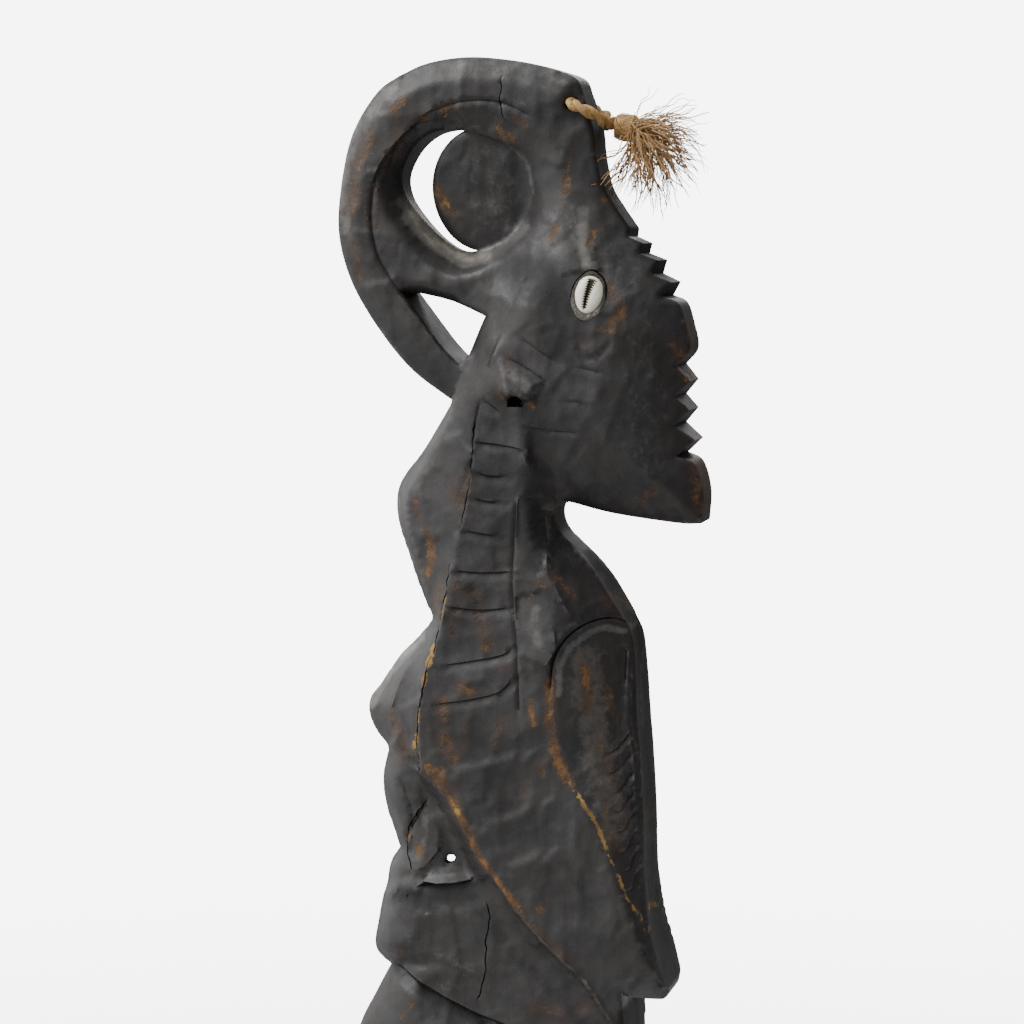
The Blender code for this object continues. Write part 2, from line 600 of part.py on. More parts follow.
def tassel(fibre):
    """The cord ring through the crest, the whipped binding and the brush of fibres."""
    radius = CORD_DIAMETER / 2
    reach = radius + CORD_CLEARANCE
    x, z = CORD_HOLE
    hole_x, hole_z = x * UNIT, z * UNIT + BASE_HEIGHT
    cheek = half_widths(np.array([CORD_HOLE], float))[0] * UNIT
    front_x = np.interp(z - 12, crest_front[::-1, 1], crest_front[::-1, 0]) * UNIT
    outer_x = front_x + reach + 2 * UNIT
    near_path = [
        (hole_x, -0.5 * cheek, hole_z),
        (hole_x, -cheek, hole_z),
        (hole_x + 0.4 * reach, -cheek - 0.8 * reach, hole_z - 0.5 * UNIT),
        (hole_x + 1.1 * reach, -cheek - reach, hole_z - 2 * UNIT),
        (hole_x + 2.2 * reach, -cheek - 0.8 * reach, hole_z - 4 * UNIT),
        (front_x + 0.6 * reach, -cheek + 1.5 * UNIT, hole_z - 7 * UNIT),
        (outer_x - 0.2 * reach, -0.65 * cheek, hole_z - 9.5 * UNIT),
        (outer_x, -0.3 * cheek, hole_z - 11.5 * UNIT),
    ]
    far_path = [(px, -py, pz) for px, py, pz in reversed(near_path)]
    middle = [(outer_x, 0, hole_z - 12 * UNIT)]
    route = smooth_loop(near_path + middle + far_path, CORD_POINTS)
    wire = bpy.data.curves.new("tassel_cord", "CURVE")
    wire.dimensions = "3D"
    wire.bevel_depth = radius
    wire.bevel_resolution = 2
    spline = wire.splines.new("POLY")
    spline.points.add(len(route) - 1)
    for point, spot in zip(spline.points, route):
        point.co = (*spot, 1)
    spline.use_cyclic_u = True
    place("tassel_cord", wire, fibre)

    frame, axis = drooping_frame(BINDING_DROOP)
    frame.translation = Vector((outer_x + radius + FIT_GAP + 0.0006, 0, hole_z - 12 * UNIT))
    thick = BINDING_DIAMETER / 2
    rings = [(0, 0.55 * thick, 0.55 * thick)]
    for turn in range(BINDING_TURNS):
        pitch = BINDING_LENGTH / BINDING_TURNS
        rings.append(((turn + 0.2) * pitch, 0.90 * thick, 0.90 * thick))
        rings.append(((turn + 0.6) * pitch, thick, thick))
    rings.append((BINDING_LENGTH, 0.85 * thick, 0.85 * thick))
    stack("tassel_binding", fibre, rings, frame, 16)

    start = frame.translation + (BINDING_LENGTH + FIT_GAP) * axis
    frame, axis = drooping_frame(TASSEL_DROOP)
    frame.translation = start + 0.0016 * axis
    brush = []
    for share, spread in ((0.0, 0.20), (0.15, 0.42), (0.40, 0.75), (0.70, 1.0), (0.88, 0.95),
                          (1.0, 0.60)):
        half = TASSEL_SPREAD / 2 * spread
        brush.append((share * TASSEL_LENGTH, 0.70 * half, half))
    stack("tassel_fibres", fibre, brush, frame, 22, 11, 0.06)


def build():
    """Clear the scene and model the figure."""
    for old in list(bpy.data.objects):
        bpy.data.objects.remove(old, do_unlink=True)
    wood = material("patinated_wood", (0.030, 0.024, 0.020), 0.55)
    shell = material("cowrie_shell", (0.74, 0.70, 0.58), 0.30)
    putty = material("grey_putty", (0.20, 0.17, 0.12), 0.80)
    fibre = material("plant_fibre", (0.33, 0.17, 0.06), 0.85)
    figure = carved_figure(wood)
    for side in (-1, 1):
        eye(side, figure, wood, putty, shell)
        ear_hole(side, figure, wood)
    tassel(fibre)


build()
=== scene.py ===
# %% [markdown]
# # A carved wooden spirit figure
# The real object is one block of dark hardwood, carved from both sides like a slab. It has a looped
# crest with a disc inside a ring, a toothed profile, a cowrie shell for each eye, folded wings and
# a tassel of plant fibre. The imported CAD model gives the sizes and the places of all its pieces.
# This script dresses that frame: it carves the wood again with much finer cuts, makes the shells,
# the putty, the cord and the fibres one by one, and gives each piece a worn surface.

# %% Load the frame and keep its box
import math

import bmesh
import bpy
import numpy as np
from mathutils import Matrix, Vector
from mathutils.geometry import delaunay_2d_cdt
from mathutils.kdtree import KDTree


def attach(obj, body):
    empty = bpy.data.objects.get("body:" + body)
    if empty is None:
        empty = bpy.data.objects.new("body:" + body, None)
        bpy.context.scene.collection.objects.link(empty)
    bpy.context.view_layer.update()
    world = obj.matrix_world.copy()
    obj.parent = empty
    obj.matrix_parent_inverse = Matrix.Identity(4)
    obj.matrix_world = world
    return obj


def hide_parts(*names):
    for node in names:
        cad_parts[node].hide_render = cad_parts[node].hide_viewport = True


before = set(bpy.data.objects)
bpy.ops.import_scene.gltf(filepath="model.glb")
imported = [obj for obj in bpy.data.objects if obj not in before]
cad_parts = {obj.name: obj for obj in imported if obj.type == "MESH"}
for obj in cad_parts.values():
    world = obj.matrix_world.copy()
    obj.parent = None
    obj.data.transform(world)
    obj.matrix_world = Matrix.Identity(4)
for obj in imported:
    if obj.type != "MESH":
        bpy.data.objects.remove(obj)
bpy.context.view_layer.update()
print("nodes:", ", ".join(sorted(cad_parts)))

# %% [markdown]
# ## The drawing sheet
# A carver draws the side view on the plank and cuts down from both faces. The same is done here.
# Every form is an outline in the side view, in millimetres, with X the way the face looks and the
# height counted from the top of the base. A mesh could also be sculpted by hand, but strokes on
# a sheet can be read, moved and repeated on the far side without a slip.

# %% Sizes of the carving
UNIT = 0.001
BASE_HEIGHT = 0.030
BASE_CENTRE_X = -0.012
BASE_LENGTH, BASE_WIDTH = 0.196, 0.150
# Half-widths of the forms on the sheet, in millimetres.
TRUNK, NECK, HEAD = 56.0, 45.0, 45.0
FACE_EDGE, CREST, CREST_RIM = 21.0, 30.0, 22.0
RING, RING_LIP, DISC, DISC_RIM = 21.0, 6.5, 15.0, 9.0
KEEL, BACK = 12.0, 31.0
SHOULDER_STEP = 3
# How far apart the points lie along a stroke, and in the field between strokes.
LINE_SPACING = 1.6
FIELD_SPACING = 1.8


# %% Strokes: curves, straight cuts and ellipses
def evenly(path):
    """Points about one spacing apart along a path, with both its ends."""
    steps = np.linalg.norm(np.diff(path, axis=0), axis=1)
    travelled = np.concatenate([[0], np.cumsum(steps)])
    count = max(1, round(travelled[-1] / LINE_SPACING))
    stations = np.linspace(0, travelled[-1], count + 1)
    return np.column_stack([np.interp(stations, travelled, path[:, axis]) for axis in (0, 1)])


def curve(*points):
    """A smooth stroke through the points."""
    points = np.array(points, float)
    padded = np.vstack([2 * points[0] - points[1], points, 2 * points[-1] - points[-2]])
    share = np.linspace(0, 1, 12, endpoint=False)[:, None]
    pieces = []
    for before, start, end, after in zip(padded, padded[1:], padded[2:], padded[3:]):
        bend = 2 * before - 5 * start + 4 * end - after
        twist = 3 * (start - end) + after - before
        pieces.append(start + 0.5 * share * (end - before + share * (bend + share * twist)))
    return evenly(np.vstack(pieces + [points[-1:]]))


def straight(*points):
    """A stroke of straight cuts with a corner at each point."""
    points = np.array(points, float)
    cuts = [evenly(points[i:i + 2])[:-1] for i in range(len(points) - 1)]
    return np.vstack(cuts + [points[-1:]])


def ellipse(centre, across, up, turned=0.0):
    """A closed stroke round an ellipse, which may be turned."""
    around = math.tau * math.sqrt((across ** 2 + up ** 2) / 2)
    angles = np.linspace(0, math.tau, max(16, round(around / LINE_SPACING)) + 1)
    x, z = across * np.cos(angles), up * np.sin(angles)
    return np.column_stack([centre[0] + x * math.cos(turned) + z * math.sin(turned),
                            centre[1] - x * math.sin(turned) + z * math.cos(turned)])


def join(*strokes):
    """One outline from strokes laid end to end."""
    return np.vstack(strokes)


def beside(stroke, offset):
    """The stroke moved sideways, to its left if the offset is positive."""
    run = np.gradient(stroke, axis=0)
    run /= np.maximum(np.linalg.norm(run, axis=1), 1e-9)[:, None]
    return stroke + offset * np.column_stack([-run[:, 1], run[:, 0]])


# %% Measuring from strokes
def distance(points, stroke, reach=np.inf):
    """How far each point is from a stroke, negative on its right; farther than the reach is not read."""
    result = np.full(len(points), np.inf)
    low, high = stroke.min(0) - reach, stroke.max(0) + reach
    close = ((points > low) & (points < high)).all(1)
    nearby = points[close]
    best = np.full(len(nearby), np.inf)
    side = np.ones(len(nearby))
    for origin, end in zip(stroke[:-1], stroke[1:]):
        direction = end - origin
        away = nearby - origin
        share = np.clip(away @ direction / max(direction @ direction, 1e-9), 0, 1)
        gap = away - share[:, None] * direction
        squared = (gap ** 2).sum(1)
        closer = squared < best
        best[closer] = squared[closer]
        cross = direction[0] * away[:, 1] - direction[1] * away[:, 0]
        side[closer] = np.where(cross[closer] >= 0, 1, -1)
    result[close] = np.sqrt(best) * side
    return result


def away_from(points, stroke, reach=np.inf):
    """How far each point is from a stroke, whichever side it is on."""
    return np.abs(distance(points, stroke, reach))


def jagged(*points, sway=0.6, seed=1):
    """A stroke that strays a little to each side, as a drying crack does."""
    path = straight(*points)
    chance = np.random.default_rng(seed)
    corners = np.arange(0, len(path) + 2, 2)
    wander = np.interp(np.arange(len(path)), corners, chance.uniform(-sway, sway, len(corners)))
    wander[[0, -1]] = 0
    return beside(path, wander[:, None])


def inside(points, region):
    """Which points are inside a region, or on its edge."""
    result = np.zeros(len(points), bool)
    low, high = region.min(0) - 0.1, region.max(0) + 0.1
    close = ((points > low) & (points < high)).all(1)
    x, z = points[close].T
    odd = np.zeros(len(x), bool)
    for (x0, z0), (x1, z1) in zip(region, np.roll(region, -1, axis=0)):
        if z0 == z1:
            continue
        crosses = (z0 > z) != (z1 > z)
        odd ^= crosses & (x < (x1 - x0) * (z - z0) / (z1 - z0) + x0)
    closed = np.vstack([region, region[:1]])
    result[close] = odd | (away_from(points[close], closed) < 0.02)
    return result


print("a test stroke has", len(curve((0, 0), (20, 10), (40, 0))), "points")

# %% [markdown]
# ## The outlines
# The profile is the figure's character: the looped crest, the row of teeth down the face and the
# hanging chin, the pointed bulges down the back of the neck and the long wing that ends in a tip.
# Each edge is one stroke, so that two forms that share an edge share the same points.

# %% Strokes of the crest, its ring and the disc inside it
crest_front = curve((46, 668), (52, 648), (54, 631), (58, 614), (65, 602), (74, 589))
crest_top = curve((46, 668), (42, 677), (30, 682), (10, 687), (-20, 690), (-45, 687), (-62, 680),
                  (-78, 669), (-93, 644), (-100, 612), (-101, 584), (-93, 556), (-77, 529),
                  (-57, 505), (-33, 487))
crest_inside = curve((34, 632), (25, 647), (4, 661), (-20, 664), (-44, 657), (-62, 641),
                     (-75, 623), (-80, 600), (-77, 576), (-69, 560), (-60, 548), (-48, 532),
                     (-37, 518), (-27, 508))
ring_outside = curve((36, 628), (27, 650), (4, 665), (-20, 668), (-46, 661), (-68, 644),
                     (-81, 624), (-85, 600), (-82, 574), (-70, 553), (-50, 550), (-30, 545),
                     (-11, 537))
ring_hole = curve((-33, 648), (-46, 645), (-57, 636), (-64, 621), (-62, 608), (-53, 595),
                  (-40, 582), (-27, 575), (-13, 578), (2, 586), (12, 597), (16, 612), (12, 628),
                  (2, 638), (-12, 643), (-23, 646), (-33, 648))
ring_bevel = curve((-33, 654), (-50, 651), (-64, 640), (-71, 622), (-68, 603), (-56, 584),
                   (-41, 569), (-22, 566), (2, 576), (17, 594), (22, 612), (18, 633), (3, 649),
                   (-14, 654), (-33, 654))
disc_edge = ellipse((-14, 612), 32, 37)

# %% Strokes of the head, from the forehead round the teeth and chin to the throat
forehead_teeth = straight((74, 589), (73, 584), (82, 580), (80, 574), (91, 570), (88, 562),
                          (99, 557), (94, 549))
nose = curve((94, 549), (103, 545), (107, 534), (110, 518), (102, 508))
mouth_teeth = straight((102, 508), (110, 499), (102, 490), (110, 482), (102, 473), (113, 464),
                       (103, 455))
chin = curve((103, 455), (113, 450), (118, 433), (117, 415))
jaw = curve((117, 415), (104, 415), (67, 420), (42, 426), (26, 431))
face_outline = join(crest_front, forehead_teeth, nose, mouth_teeth, chin, jaw)
face_rim = join(crest_front, curve((74, 589), (83, 579), (92, 569), (100, 557), (105, 545),
                                   (110, 525), (111, 495), (112, 464), (118, 436), (118, 415)), jaw)

# %% Strokes of the trunk and the wing
ear_hood = straight((1, 513), (12, 508), (27, 500), (21, 495), (18, 488), (15, 489), (9.5, 491.5),
                    (5, 490), (2, 494), (0, 503), (1, 513))
nape_edge = curve((-11, 537), (-20, 517), (-24, 505))
nape_crease = join(curve((-24, 505), (-36, 468), (-49, 443), (-57, 428), (-56, 410), (-50, 390),
                         (-41, 358)),
                   curve((-41, 358), (-54, 333), (-62, 318), (-66, 305), (-64, 291), (-56, 272)))
left_edge = join(curve((-33, 487), (-51, 457), (-61, 444), (-67, 432), (-67, 415), (-60, 393),
                       (-53, 373), (-45, 355)),
                 curve((-45, 355), (-56, 343), (-66, 333), (-77, 317), (-85, 305), (-83, 291),
                       (-72, 276)))
split_line = curve((16, 562), (3, 534), (-6, 508), (-14, 478), (-16, 460), (-18, 437), (-23, 412),
                   (-29, 388), (-33, 360), (-38, 340), (-44, 323), (-47, 300), (-46, 268))
panel_edge = curve((-46, 268), (-30, 254), (-18, 233), (-6, 213), (12, 188), (30, 167), (52, 146),
                   (64, 128), (75, 110))
band_low = curve((-52, 270), (-45, 258), (-37, 247), (-30, 234), (-24, 224), (-19, 212), (-13, 198),
                 (-2, 179), (16, 160), (35, 143), (47, 132), (58, 117))
throat = curve((34, 441), (29, 425), (31, 411), (40, 401), (48, 393), (56, 383), (64, 370),
               (72, 357), (77, 345), (79, 322), (80, 300), (82, 276), (84, 240), (85, 205),
               (88, 178), (93, 158), (99, 138))
wing_tip = curve((99, 138), (98, 133), (92, 131), (74, 138))
haunch = curve((74, 138), (75, 115), (75, 80), (68, 42), (62, 15), (60, -8))
breast_line = curve((18, 432), (19, 412), (24, 396), (31, 383), (36, 366), (35, 345), (32, 324),
                    (32, 290), (36, 272), (44, 262), (52, 250), (59, 236), (67, 217), (75, 196),
                    (83, 178), (90, 160), (99, 138))
wing_oval = curve((32, 316), (34, 335), (41, 348), (51, 356), (62, 359), (71, 357), (77, 348))
wing_front = curve((75, 340), (75, 317), (76, 295), (79, 274), (80, 253), (82, 225), (83, 200))

# %% Strokes of the folded arms and the legs
forearm_left = curve((-72, 276), (-75, 260), (-73, 243), (-68, 228), (-65, 218))
hand_left = curve((-65, 218), (-71, 208), (-74, 191))
knee_left = curve((-74, 191), (-77, 175), (-79, 158), (-70, 147))
shin_left = curve((-70, 147), (-79, 130), (-88, 112), (-93, 94), (-91, 70), (-82, 46), (-72, 26))
foot_left = curve((-72, 26), (-82, 20), (-90, 10), (-90, -8))
thigh_under = curve((-70, 147), (-58, 141), (-23, 126), (-10, 116), (20, 104), (50, 98), (74, 92))
thigh_over = curve((-74, 191), (-60, 197), (-37, 200), (-13, 203), (4, 206))
print("the profile has", len(face_outline), "points from the crest to the throat")

# %% [markdown]
# ## The forms
# A form is an outline with a half-width: how far its surface stands from the middle of the slab.
# A lump rises from a thin rim to its full width over a slope, as a rounded limb does. A flank falls
# from one stroke to another, as a flat facet cut with an adze does. Where forms lie over each
# other, the one that stands out further is what the eye sees, so the largest half-width wins.


# %% Lumps and flanks
def level(half, points):
    """A half-width that is one number, or that changes with height through (height, half) pairs."""
    if isinstance(half, list):
        heights, halves = zip(*half)
        return np.interp(points[:, 1], heights, halves)
    return np.full(len(points), float(half))


def lump(region, rims, edge, full, slope, power=1.0):
    """A form with its edge half-width along the rims, and its full half-width a slope away."""
    def halves(points):
        nearest = np.min([away_from(points, rim) for rim in rims], axis=0)
        rise = np.clip(nearest / slope, 0, 1)
        rise = 1 - (1 - rise) ** power
        low, high = level(edge, points), level(full, points)
        return low + (high - low) * rise
    return region, halves


def flank(inner, outer, inner_half, outer_half, power=1.0):
    """A facet that falls from an inner stroke to an outer one."""
    def halves(points):
        to_inner, to_outer = away_from(points, inner), away_from(points, outer)
        rise = to_outer / (to_inner + to_outer + 1e-6)
        rise = 1 - (1 - rise) ** power
        low, high = level(outer_half, points), level(inner_half, points)
        return low + (high - low) * rise
    return join(inner, outer[::-1]), halves


trunk_half = [(110, TRUNK - 8), (140, TRUNK - 6), (175, TRUNK - 2), (300, TRUNK), (350, TRUNK - 2),
              (400, NECK + 4), (470, NECK), (560, HEAD - 3)]
strip_half = [(height, half - SHOULDER_STEP * (height < 500)) for height, half in trunk_half]
crease_half = [(270, KEEL + 22), (320, KEEL + 26), (358, KEEL + 20), (430, KEEL + 24),
               (505, KEEL + 18), (537, KEEL + 10)]
back_half = [(130, BACK - 9), (160, BACK), (300, BACK), (345, BACK - 7), (375, BACK - 3),
             (400, BACK - 14), (428, BACK - 12)]
ring_half = [(600, RING), (640, RING + 4)]
print("the trunk is", 2 * TRUNK, "mm wide and its back edge", 2 * KEEL, "mm")

# %% The forms of the crest and the head
FORMS = [
    lump(join(crest_top[::-1], crest_front[1:18], crest_inside, straight((-20, 515), (-24, 503))),
         [crest_top, crest_front], CREST_RIM, CREST, 13),
    lump(join(ring_outside, straight((-11, 537), (20, 545), (38, 575), (36, 628)), ring_bevel,
              ring_outside[:1]),
         [ring_bevel, ring_outside], ring_half, CREST - 1, 7.5, 2),
    flank(ring_bevel, ring_hole, ring_half, [(580, RING_LIP), (645, RING + 1)]),
    lump(disc_edge, [disc_edge], [(590, DISC_RIM), (650, RING)], [(600, DISC), (645, RING + 1)],
         30, 2.2),
    lump(join(face_outline, straight((26, 431), (5, 440), (-10, 470), (-6, 508), (3, 534), (16, 562)),
              straight((16, 562), (26, 572), (32, 592), (34, 632), (46, 668))),
         [face_rim], FACE_EDGE, [(530, HEAD), (570, HEAD - 3), (610, HEAD - 8)], 54, 1.8),
    lump(ear_hood, [ear_hood[:20]], NECK + 1, NECK + 9, 18),
]
print(len(FORMS), "forms of the crest and the head")

# %% The forms of the trunk, the wing and the limbs
FORMS += [
    lump(join(split_line, panel_edge[1:], straight((75, 110), (74, 138)), wing_tip[::-1],
              breast_line[::-1], straight((18, 432), (16, 562))),
         [wing_tip[:8]], TRUNK - 33, trunk_half, 16),
    flank(straight((12, 452), (15, 424)), straight((35, 446), (31, 424)), NECK - 1, NECK - 20, 1.4),
    flank(panel_edge, band_low, trunk_half, [(118, TRUNK - 13), (272, TRUNK - 15)]),
    flank(split_line, join(nape_edge, nape_crease, straight((-56, 272), (-46, 268))), strip_half,
          crease_half),
    flank(nape_crease, left_edge, crease_half, KEEL),
    flank(breast_line, throat, trunk_half, back_half, 1.5),
    lump(join(forearm_left, straight((-65, 218), (-52, 203), (-30, 212), (-2, 216)),
              straight((-6, 240), (-36, 276), (-60, 292), (-72, 276))),
         [forearm_left], KEEL + 8, KEEL + 27, 20, 2),
    lump(join(hand_left, straight((-74, 191), (-58, 186), (-46, 200), (-50, 212), (-65, 218))),
         [hand_left], KEEL + 6, KEEL + 24, 14, 2),
    lump(straight((-60, 192), (-50, 209), (-31, 219), (-5, 222), (14, 194), (-30, 192), (-60, 192)),
         [straight((-60, 192), (-30, 192), (14, 194))], KEEL + 12, KEEL + 27, 12, 2),
    lump(join(knee_left, thigh_under, straight((74, 92), (74, 108), (60, 150), (16, 200), (4, 206)),
              thigh_over[::-1]),
         [knee_left, thigh_under], KEEL + 12, TRUNK - 11, 24, 2),
    lump(join(shin_left, foot_left, straight((-90, -8), (60, -8)), haunch[::-1],
              straight((74, 138), (60, 134), (-10, 150), (-70, 147))),
         [shin_left, foot_left], KEEL + 12, [(0, TRUNK - 18), (60, TRUNK - 12)], 26, 2),
    lump(join(foot_left, straight((-90, -8), (-20, -8), (-16, 14), (-40, 28), (-72, 26))),
         [foot_left, straight((-16, 14), (-40, 28), (-72, 26))], KEEL + 16, TRUNK - 8, 10, 2),
]
print(len(FORMS), "forms in all")

# %% [markdown]
# ## The cuts
# The neck and the body are crossed by cuts that stand for scales. A knife makes them: it goes
# straight in at the top and slopes out below, so the upper scale seems to lie over the lower one
# and the sloping lip catches the light. A cut is given here by its stroke, how far it reaches on
# each side of the stroke, and its depth. Drying cracks are cut the same way, thin and deep.

# %% Creases between the forms
CUTS = [
    (wing_oval, 1.6, 1.0, 2.2),
    (wing_front, 2.0, 1.4, -0.9),
    (crest_inside[crest_inside[:, 0] < 18], 2.2, 1.4, 1.4),
    (split_line[split_line[:, 1] < 490], 1.0, 1.2, 1.0),
    (panel_edge[panel_edge[:, 1] < 200], 3.0, 3.0, -1.4),
    (curve((11, 432), (9, 389), (10, 367), (12, 345), (13, 324), (14, 302)), 1.0, 1.8, 0.95),
    (curve((-51, 196), (-46, 199), (-37, 198.5), (-27, 199.5), (-16, 203)), 0.8, 17, 3.2),
    (curve((-66, 149), (-56, 143), (-39, 133), (-15, 121), (-3, 117), (20, 108)), 2.5, 8, 4.5),
    (curve((-44, 205), (-50, 199), (-57, 193), (-65, 185)), 2.0, 5, 0.9),
    (curve((46, 523), (50, 513), (59, 514), (67, 523)), 3.0, 3.0, 0.9),
    (curve((-62, 262), (-54, 240), (-60, 222)), 3, 3, 2),
    (curve((-8, 112), (-24, 84), (-30, 52), (-26, 26)), 6, 6, 6),
]
print(len(CUTS), "creases")

# %% Scale cuts of the face, the neck and the body, and soft ridges of the belly
FACE_LINES = [
    ((11, 526), (25, 516), (35, 510)), ((2, 514), (16, 507), (30, 498)), ((44, 508), (63, 504)),
    ((39, 488), (53, 486)), ((13, 474), (28, 470), (48, 469)),
]
NECK_LINES = [
    ((-11, 489), (-4, 484), (2, 479)), ((-16, 463), (2, 461), (17, 458)),
    ((-16, 446), (-6, 443), (6, 443)), ((-18, 431), (-8, 428), (3, 428)),
    ((-23, 411), (-10, 409), (1, 408)), ((-27, 387), (-10, 386), (10, 387)),
    ((-31, 366), (-10, 364), (10, 366)), ((-33, 331), (-14, 334), (4, 338), (11, 344)),
    ((-38, 308), (-16, 311), (2, 316), (11, 325)),
]
RIDGES = [
    ((-27, 268), (-11, 271), (3, 275), (16, 280)), ((-9, 237), (6, 240), (25, 250)),
    ((6, 210), (14, 214), (29, 221)),
]
for line in FACE_LINES:
    CUTS.append((curve(*line), 0.8, 3.0, 0.8))
for line in NECK_LINES:
    CUTS.append((curve(*line), 0.9, 5.0, 1.5))
for line in RIDGES:
    CUTS.append((curve(*line), 4.5, 13, -1.3))
CUTS.append((curve((25, 422), (28, 406), (30, 388), (38, 372), (46, 358)), 2.4, 3.2, -1.5))
print(len(CUTS), "cuts with the scales and the ridges")

# %% Feathers of the wing
FEATHERS = 8
FEATHER_STEP = 11.5
for feather in range(FEATHERS):
    tip = 285 - FEATHER_STEP * feather
    back = 62 + 1.8 * feather
    front = 78 + 0.9 * feather
    CUTS.append((curve((back, tip - 4), (back + 5, tip - 4.5), (front - 4, tip + 2), (front, tip + 9)),
                 0.8, 3.6, 1.7))

# %% Drying cracks
CRACKS = [
    jagged((-15, 476), (-16, 464), (-16, 452), (-18, 438), (-20, 425), (-23, 411), seed=1),
    jagged((-29, 391), (-31, 373), (-35, 358), (-37, 342), (-41, 332), (-43, 323), (-46, 306),
           (-49, 286), (-47, 270), seed=2),
    jagged((-1, 678), (-2, 664), (0, 652), seed=3),
    jagged((-44, 250), (-48, 245), (-53, 237), (-56, 233), (-58, 226), (-58, 216), (-55, 209),
           (-53, 205), seed=4),
    jagged((-8, 190), (-5, 181), (-8, 164), (-8, 151), (-11, 137), (-13, 130), seed=5),
    jagged((-52, 240), (-54, 236), (-56, 233), sway=0.2, seed=6),
]
CRACK_WIDTHS = [0.5, 0.6, 0.4, 0.5, 0.45, 1.2]
CRACK_DEPTHS = [2.2, 3.5, 1.8, 3.0, 2.6, 3.0]
for crack, width, deep in zip(CRACKS, CRACK_WIDTHS, CRACK_DEPTHS):
    CUTS.append((crack, width, width, deep))
print(len(CUTS), "cuts with the feathers and the cracks")

# %% [markdown]
# ## Flat facets
# In some places a single knife stroke left a flat facet that faces the light or turns from it. Each
# is given by its outline, the point it tilts about, how fast the half-width grows along X and along
# the height, and how far it is lifted. A facet whose half-width grows downwards faces the sky.

# %% Facets of the head, the breast, the wing and the limbs
wing_bed = join(curve((38, 286), (34, 300), (34, 312), (36, 325), (41, 338), (49, 347), (61, 352),
                      (70, 348), (74, 338)), curve((74, 338), (73, 310), (71, 285), (68, 262))[1:])
FACETS = [
    (straight((41, 584), (44, 592), (49, 594), (53, 586), (51, 578), (54, 572), (58, 565), (47, 565),
              (46, 573), (45, 578), (41, 584)), (49, 578), 0.07, -0.05, 0.3),
    (straight((30, 578), (41, 584), (45, 574), (45, 564), (37, 562), (30, 578)),
     (39, 572), 0.06, -0.05, 0.1),
    (straight((12, 372), (26, 375), (34, 357), (36, 342), (30, 333), (16, 338), (12, 372)),
     (24, 354), 0.05, -0.08, 0.2),
    (straight((12, 430), (23, 431), (25, 420), (28, 404), (28, 389), (24, 386), (12, 385), (12, 430)),
     (12, 385), -0.08, -0.016, 0.0),
    (straight((-45, 247), (-38, 244), (-41, 237), (-37, 230), (-38, 219), (-46, 209), (-51, 208),
              (-55, 218), (-54, 233), (-45, 247)), (-46, 228), 0.16, -0.05, 0.2),
    (straight((-47, 201), (-39, 209), (-30, 211), (-20, 209), (-17, 203), (-27, 201), (-38, 200),
              (-47, 201)), (-32, 208), 0.02, -0.22, 0.2),
    (straight((-64, 219), (-71, 207), (-74, 192), (-69, 185), (-61, 198), (-61, 214), (-64, 219)),
     (-62, 204), 0.12, -0.05, 0.0),
    (straight((-78, 318), (-66, 331), (-56, 330), (-62, 317), (-66, 305), (-82, 303), (-78, 318)),
     (-68, 316), 0.05, -0.05, 0.0),
    (wing_bed, (53, 274), -0.013, -0.017, 0.0),
]
print(len(FACETS), "facets")

# %% [markdown]
# ## Soft junctions
# Where the head runs into the ring, or the thigh into the trunk, the carver left no line at all.
# Two forms that only meet would still show a crease there, so the half-width is blurred along each
# of these strokes. A blend is its stroke, how far from it the blur reaches, and its brush's radius.

# %% Places where two forms flow into each other
BLENDS = [
    (straight((-4, 540), (16, 562), (26, 572), (33, 592), (35, 632), (46, 641), (56, 638)), 30, 8.5),
    (straight((-34, 655), (-12, 651), (8, 642), (18, 624)), 8, 2.5),
    (straight((-22, 545), (0, 552), (16, 560)), 9, 4.0),
    (straight((-8, 500), (-10, 470), (5, 440), (20, 436), (32, 434)), 15, 5.5),
    (straight((-60, 194), (-46, 198), (-30, 196), (-4, 200), (8, 200)), 11, 4.0),
]
print(len(BLENDS), "blends")

# %% [markdown]
# ## Holes
# Three holes go right through: the crescent beside the disc is left by the ring, a small one lies
# between the arm and the leg, and the tassel's cord goes through a bored one. The socket of each
# eye and the hole under each ear are blind, so they only lower the surface inside their outlines.
# The small hole was bored aslant, so its far mouth lies further back and lower than its near one.
# A funnel is a hole's worn mouth: the half-width there is a floor and a slope times the distance.
# A hollow is scooped into the slab's edge along a stroke, to a depth, over a share of the width.

# %% Holes and sockets
CORD_HOLE = (40, 662)
CORD_HOLE_RADIUS = 4.1
LIMB_HOLE = (-31, 214)
EYE_CENTRE = (53, 550)
EYE_LEAN = math.radians(11)
OPENINGS = [ellipse(CORD_HOLE, CORD_HOLE_RADIUS, CORD_HOLE_RADIUS),
            ellipse(LIMB_HOLE, 3.4, 2.3, math.radians(-30))]
LIMB_HOLE_SLANT = np.array([-13.0, -10.5])
SLANT_REACH = 34
FUNNELS = [(LIMB_HOLE, KEEL + 22, 1.6), (CORD_HOLE, CREST - 3.0, 1.6)]
ear_pit = straight((14.8, 484), (14, 488), (11.5, 490.3), (8, 490.3), (5.2, 488), (4.6, 484),
                   (14.8, 484))
PITS = [(ellipse(EYE_CENTRE, 10.6, 14.0, EYE_LEAN), 7.0), (ear_pit, 16.0)]
HOLLOWS = [
    (throat[32:-8], 3.0, 0.75),
    (join(forearm_left, hand_left, knee_left, shin_left), 9, 0.35),
]
WALL_STRIPS = 10
print(len(OPENINGS), "holes right through and", len(PITS), "blind ones on each side")

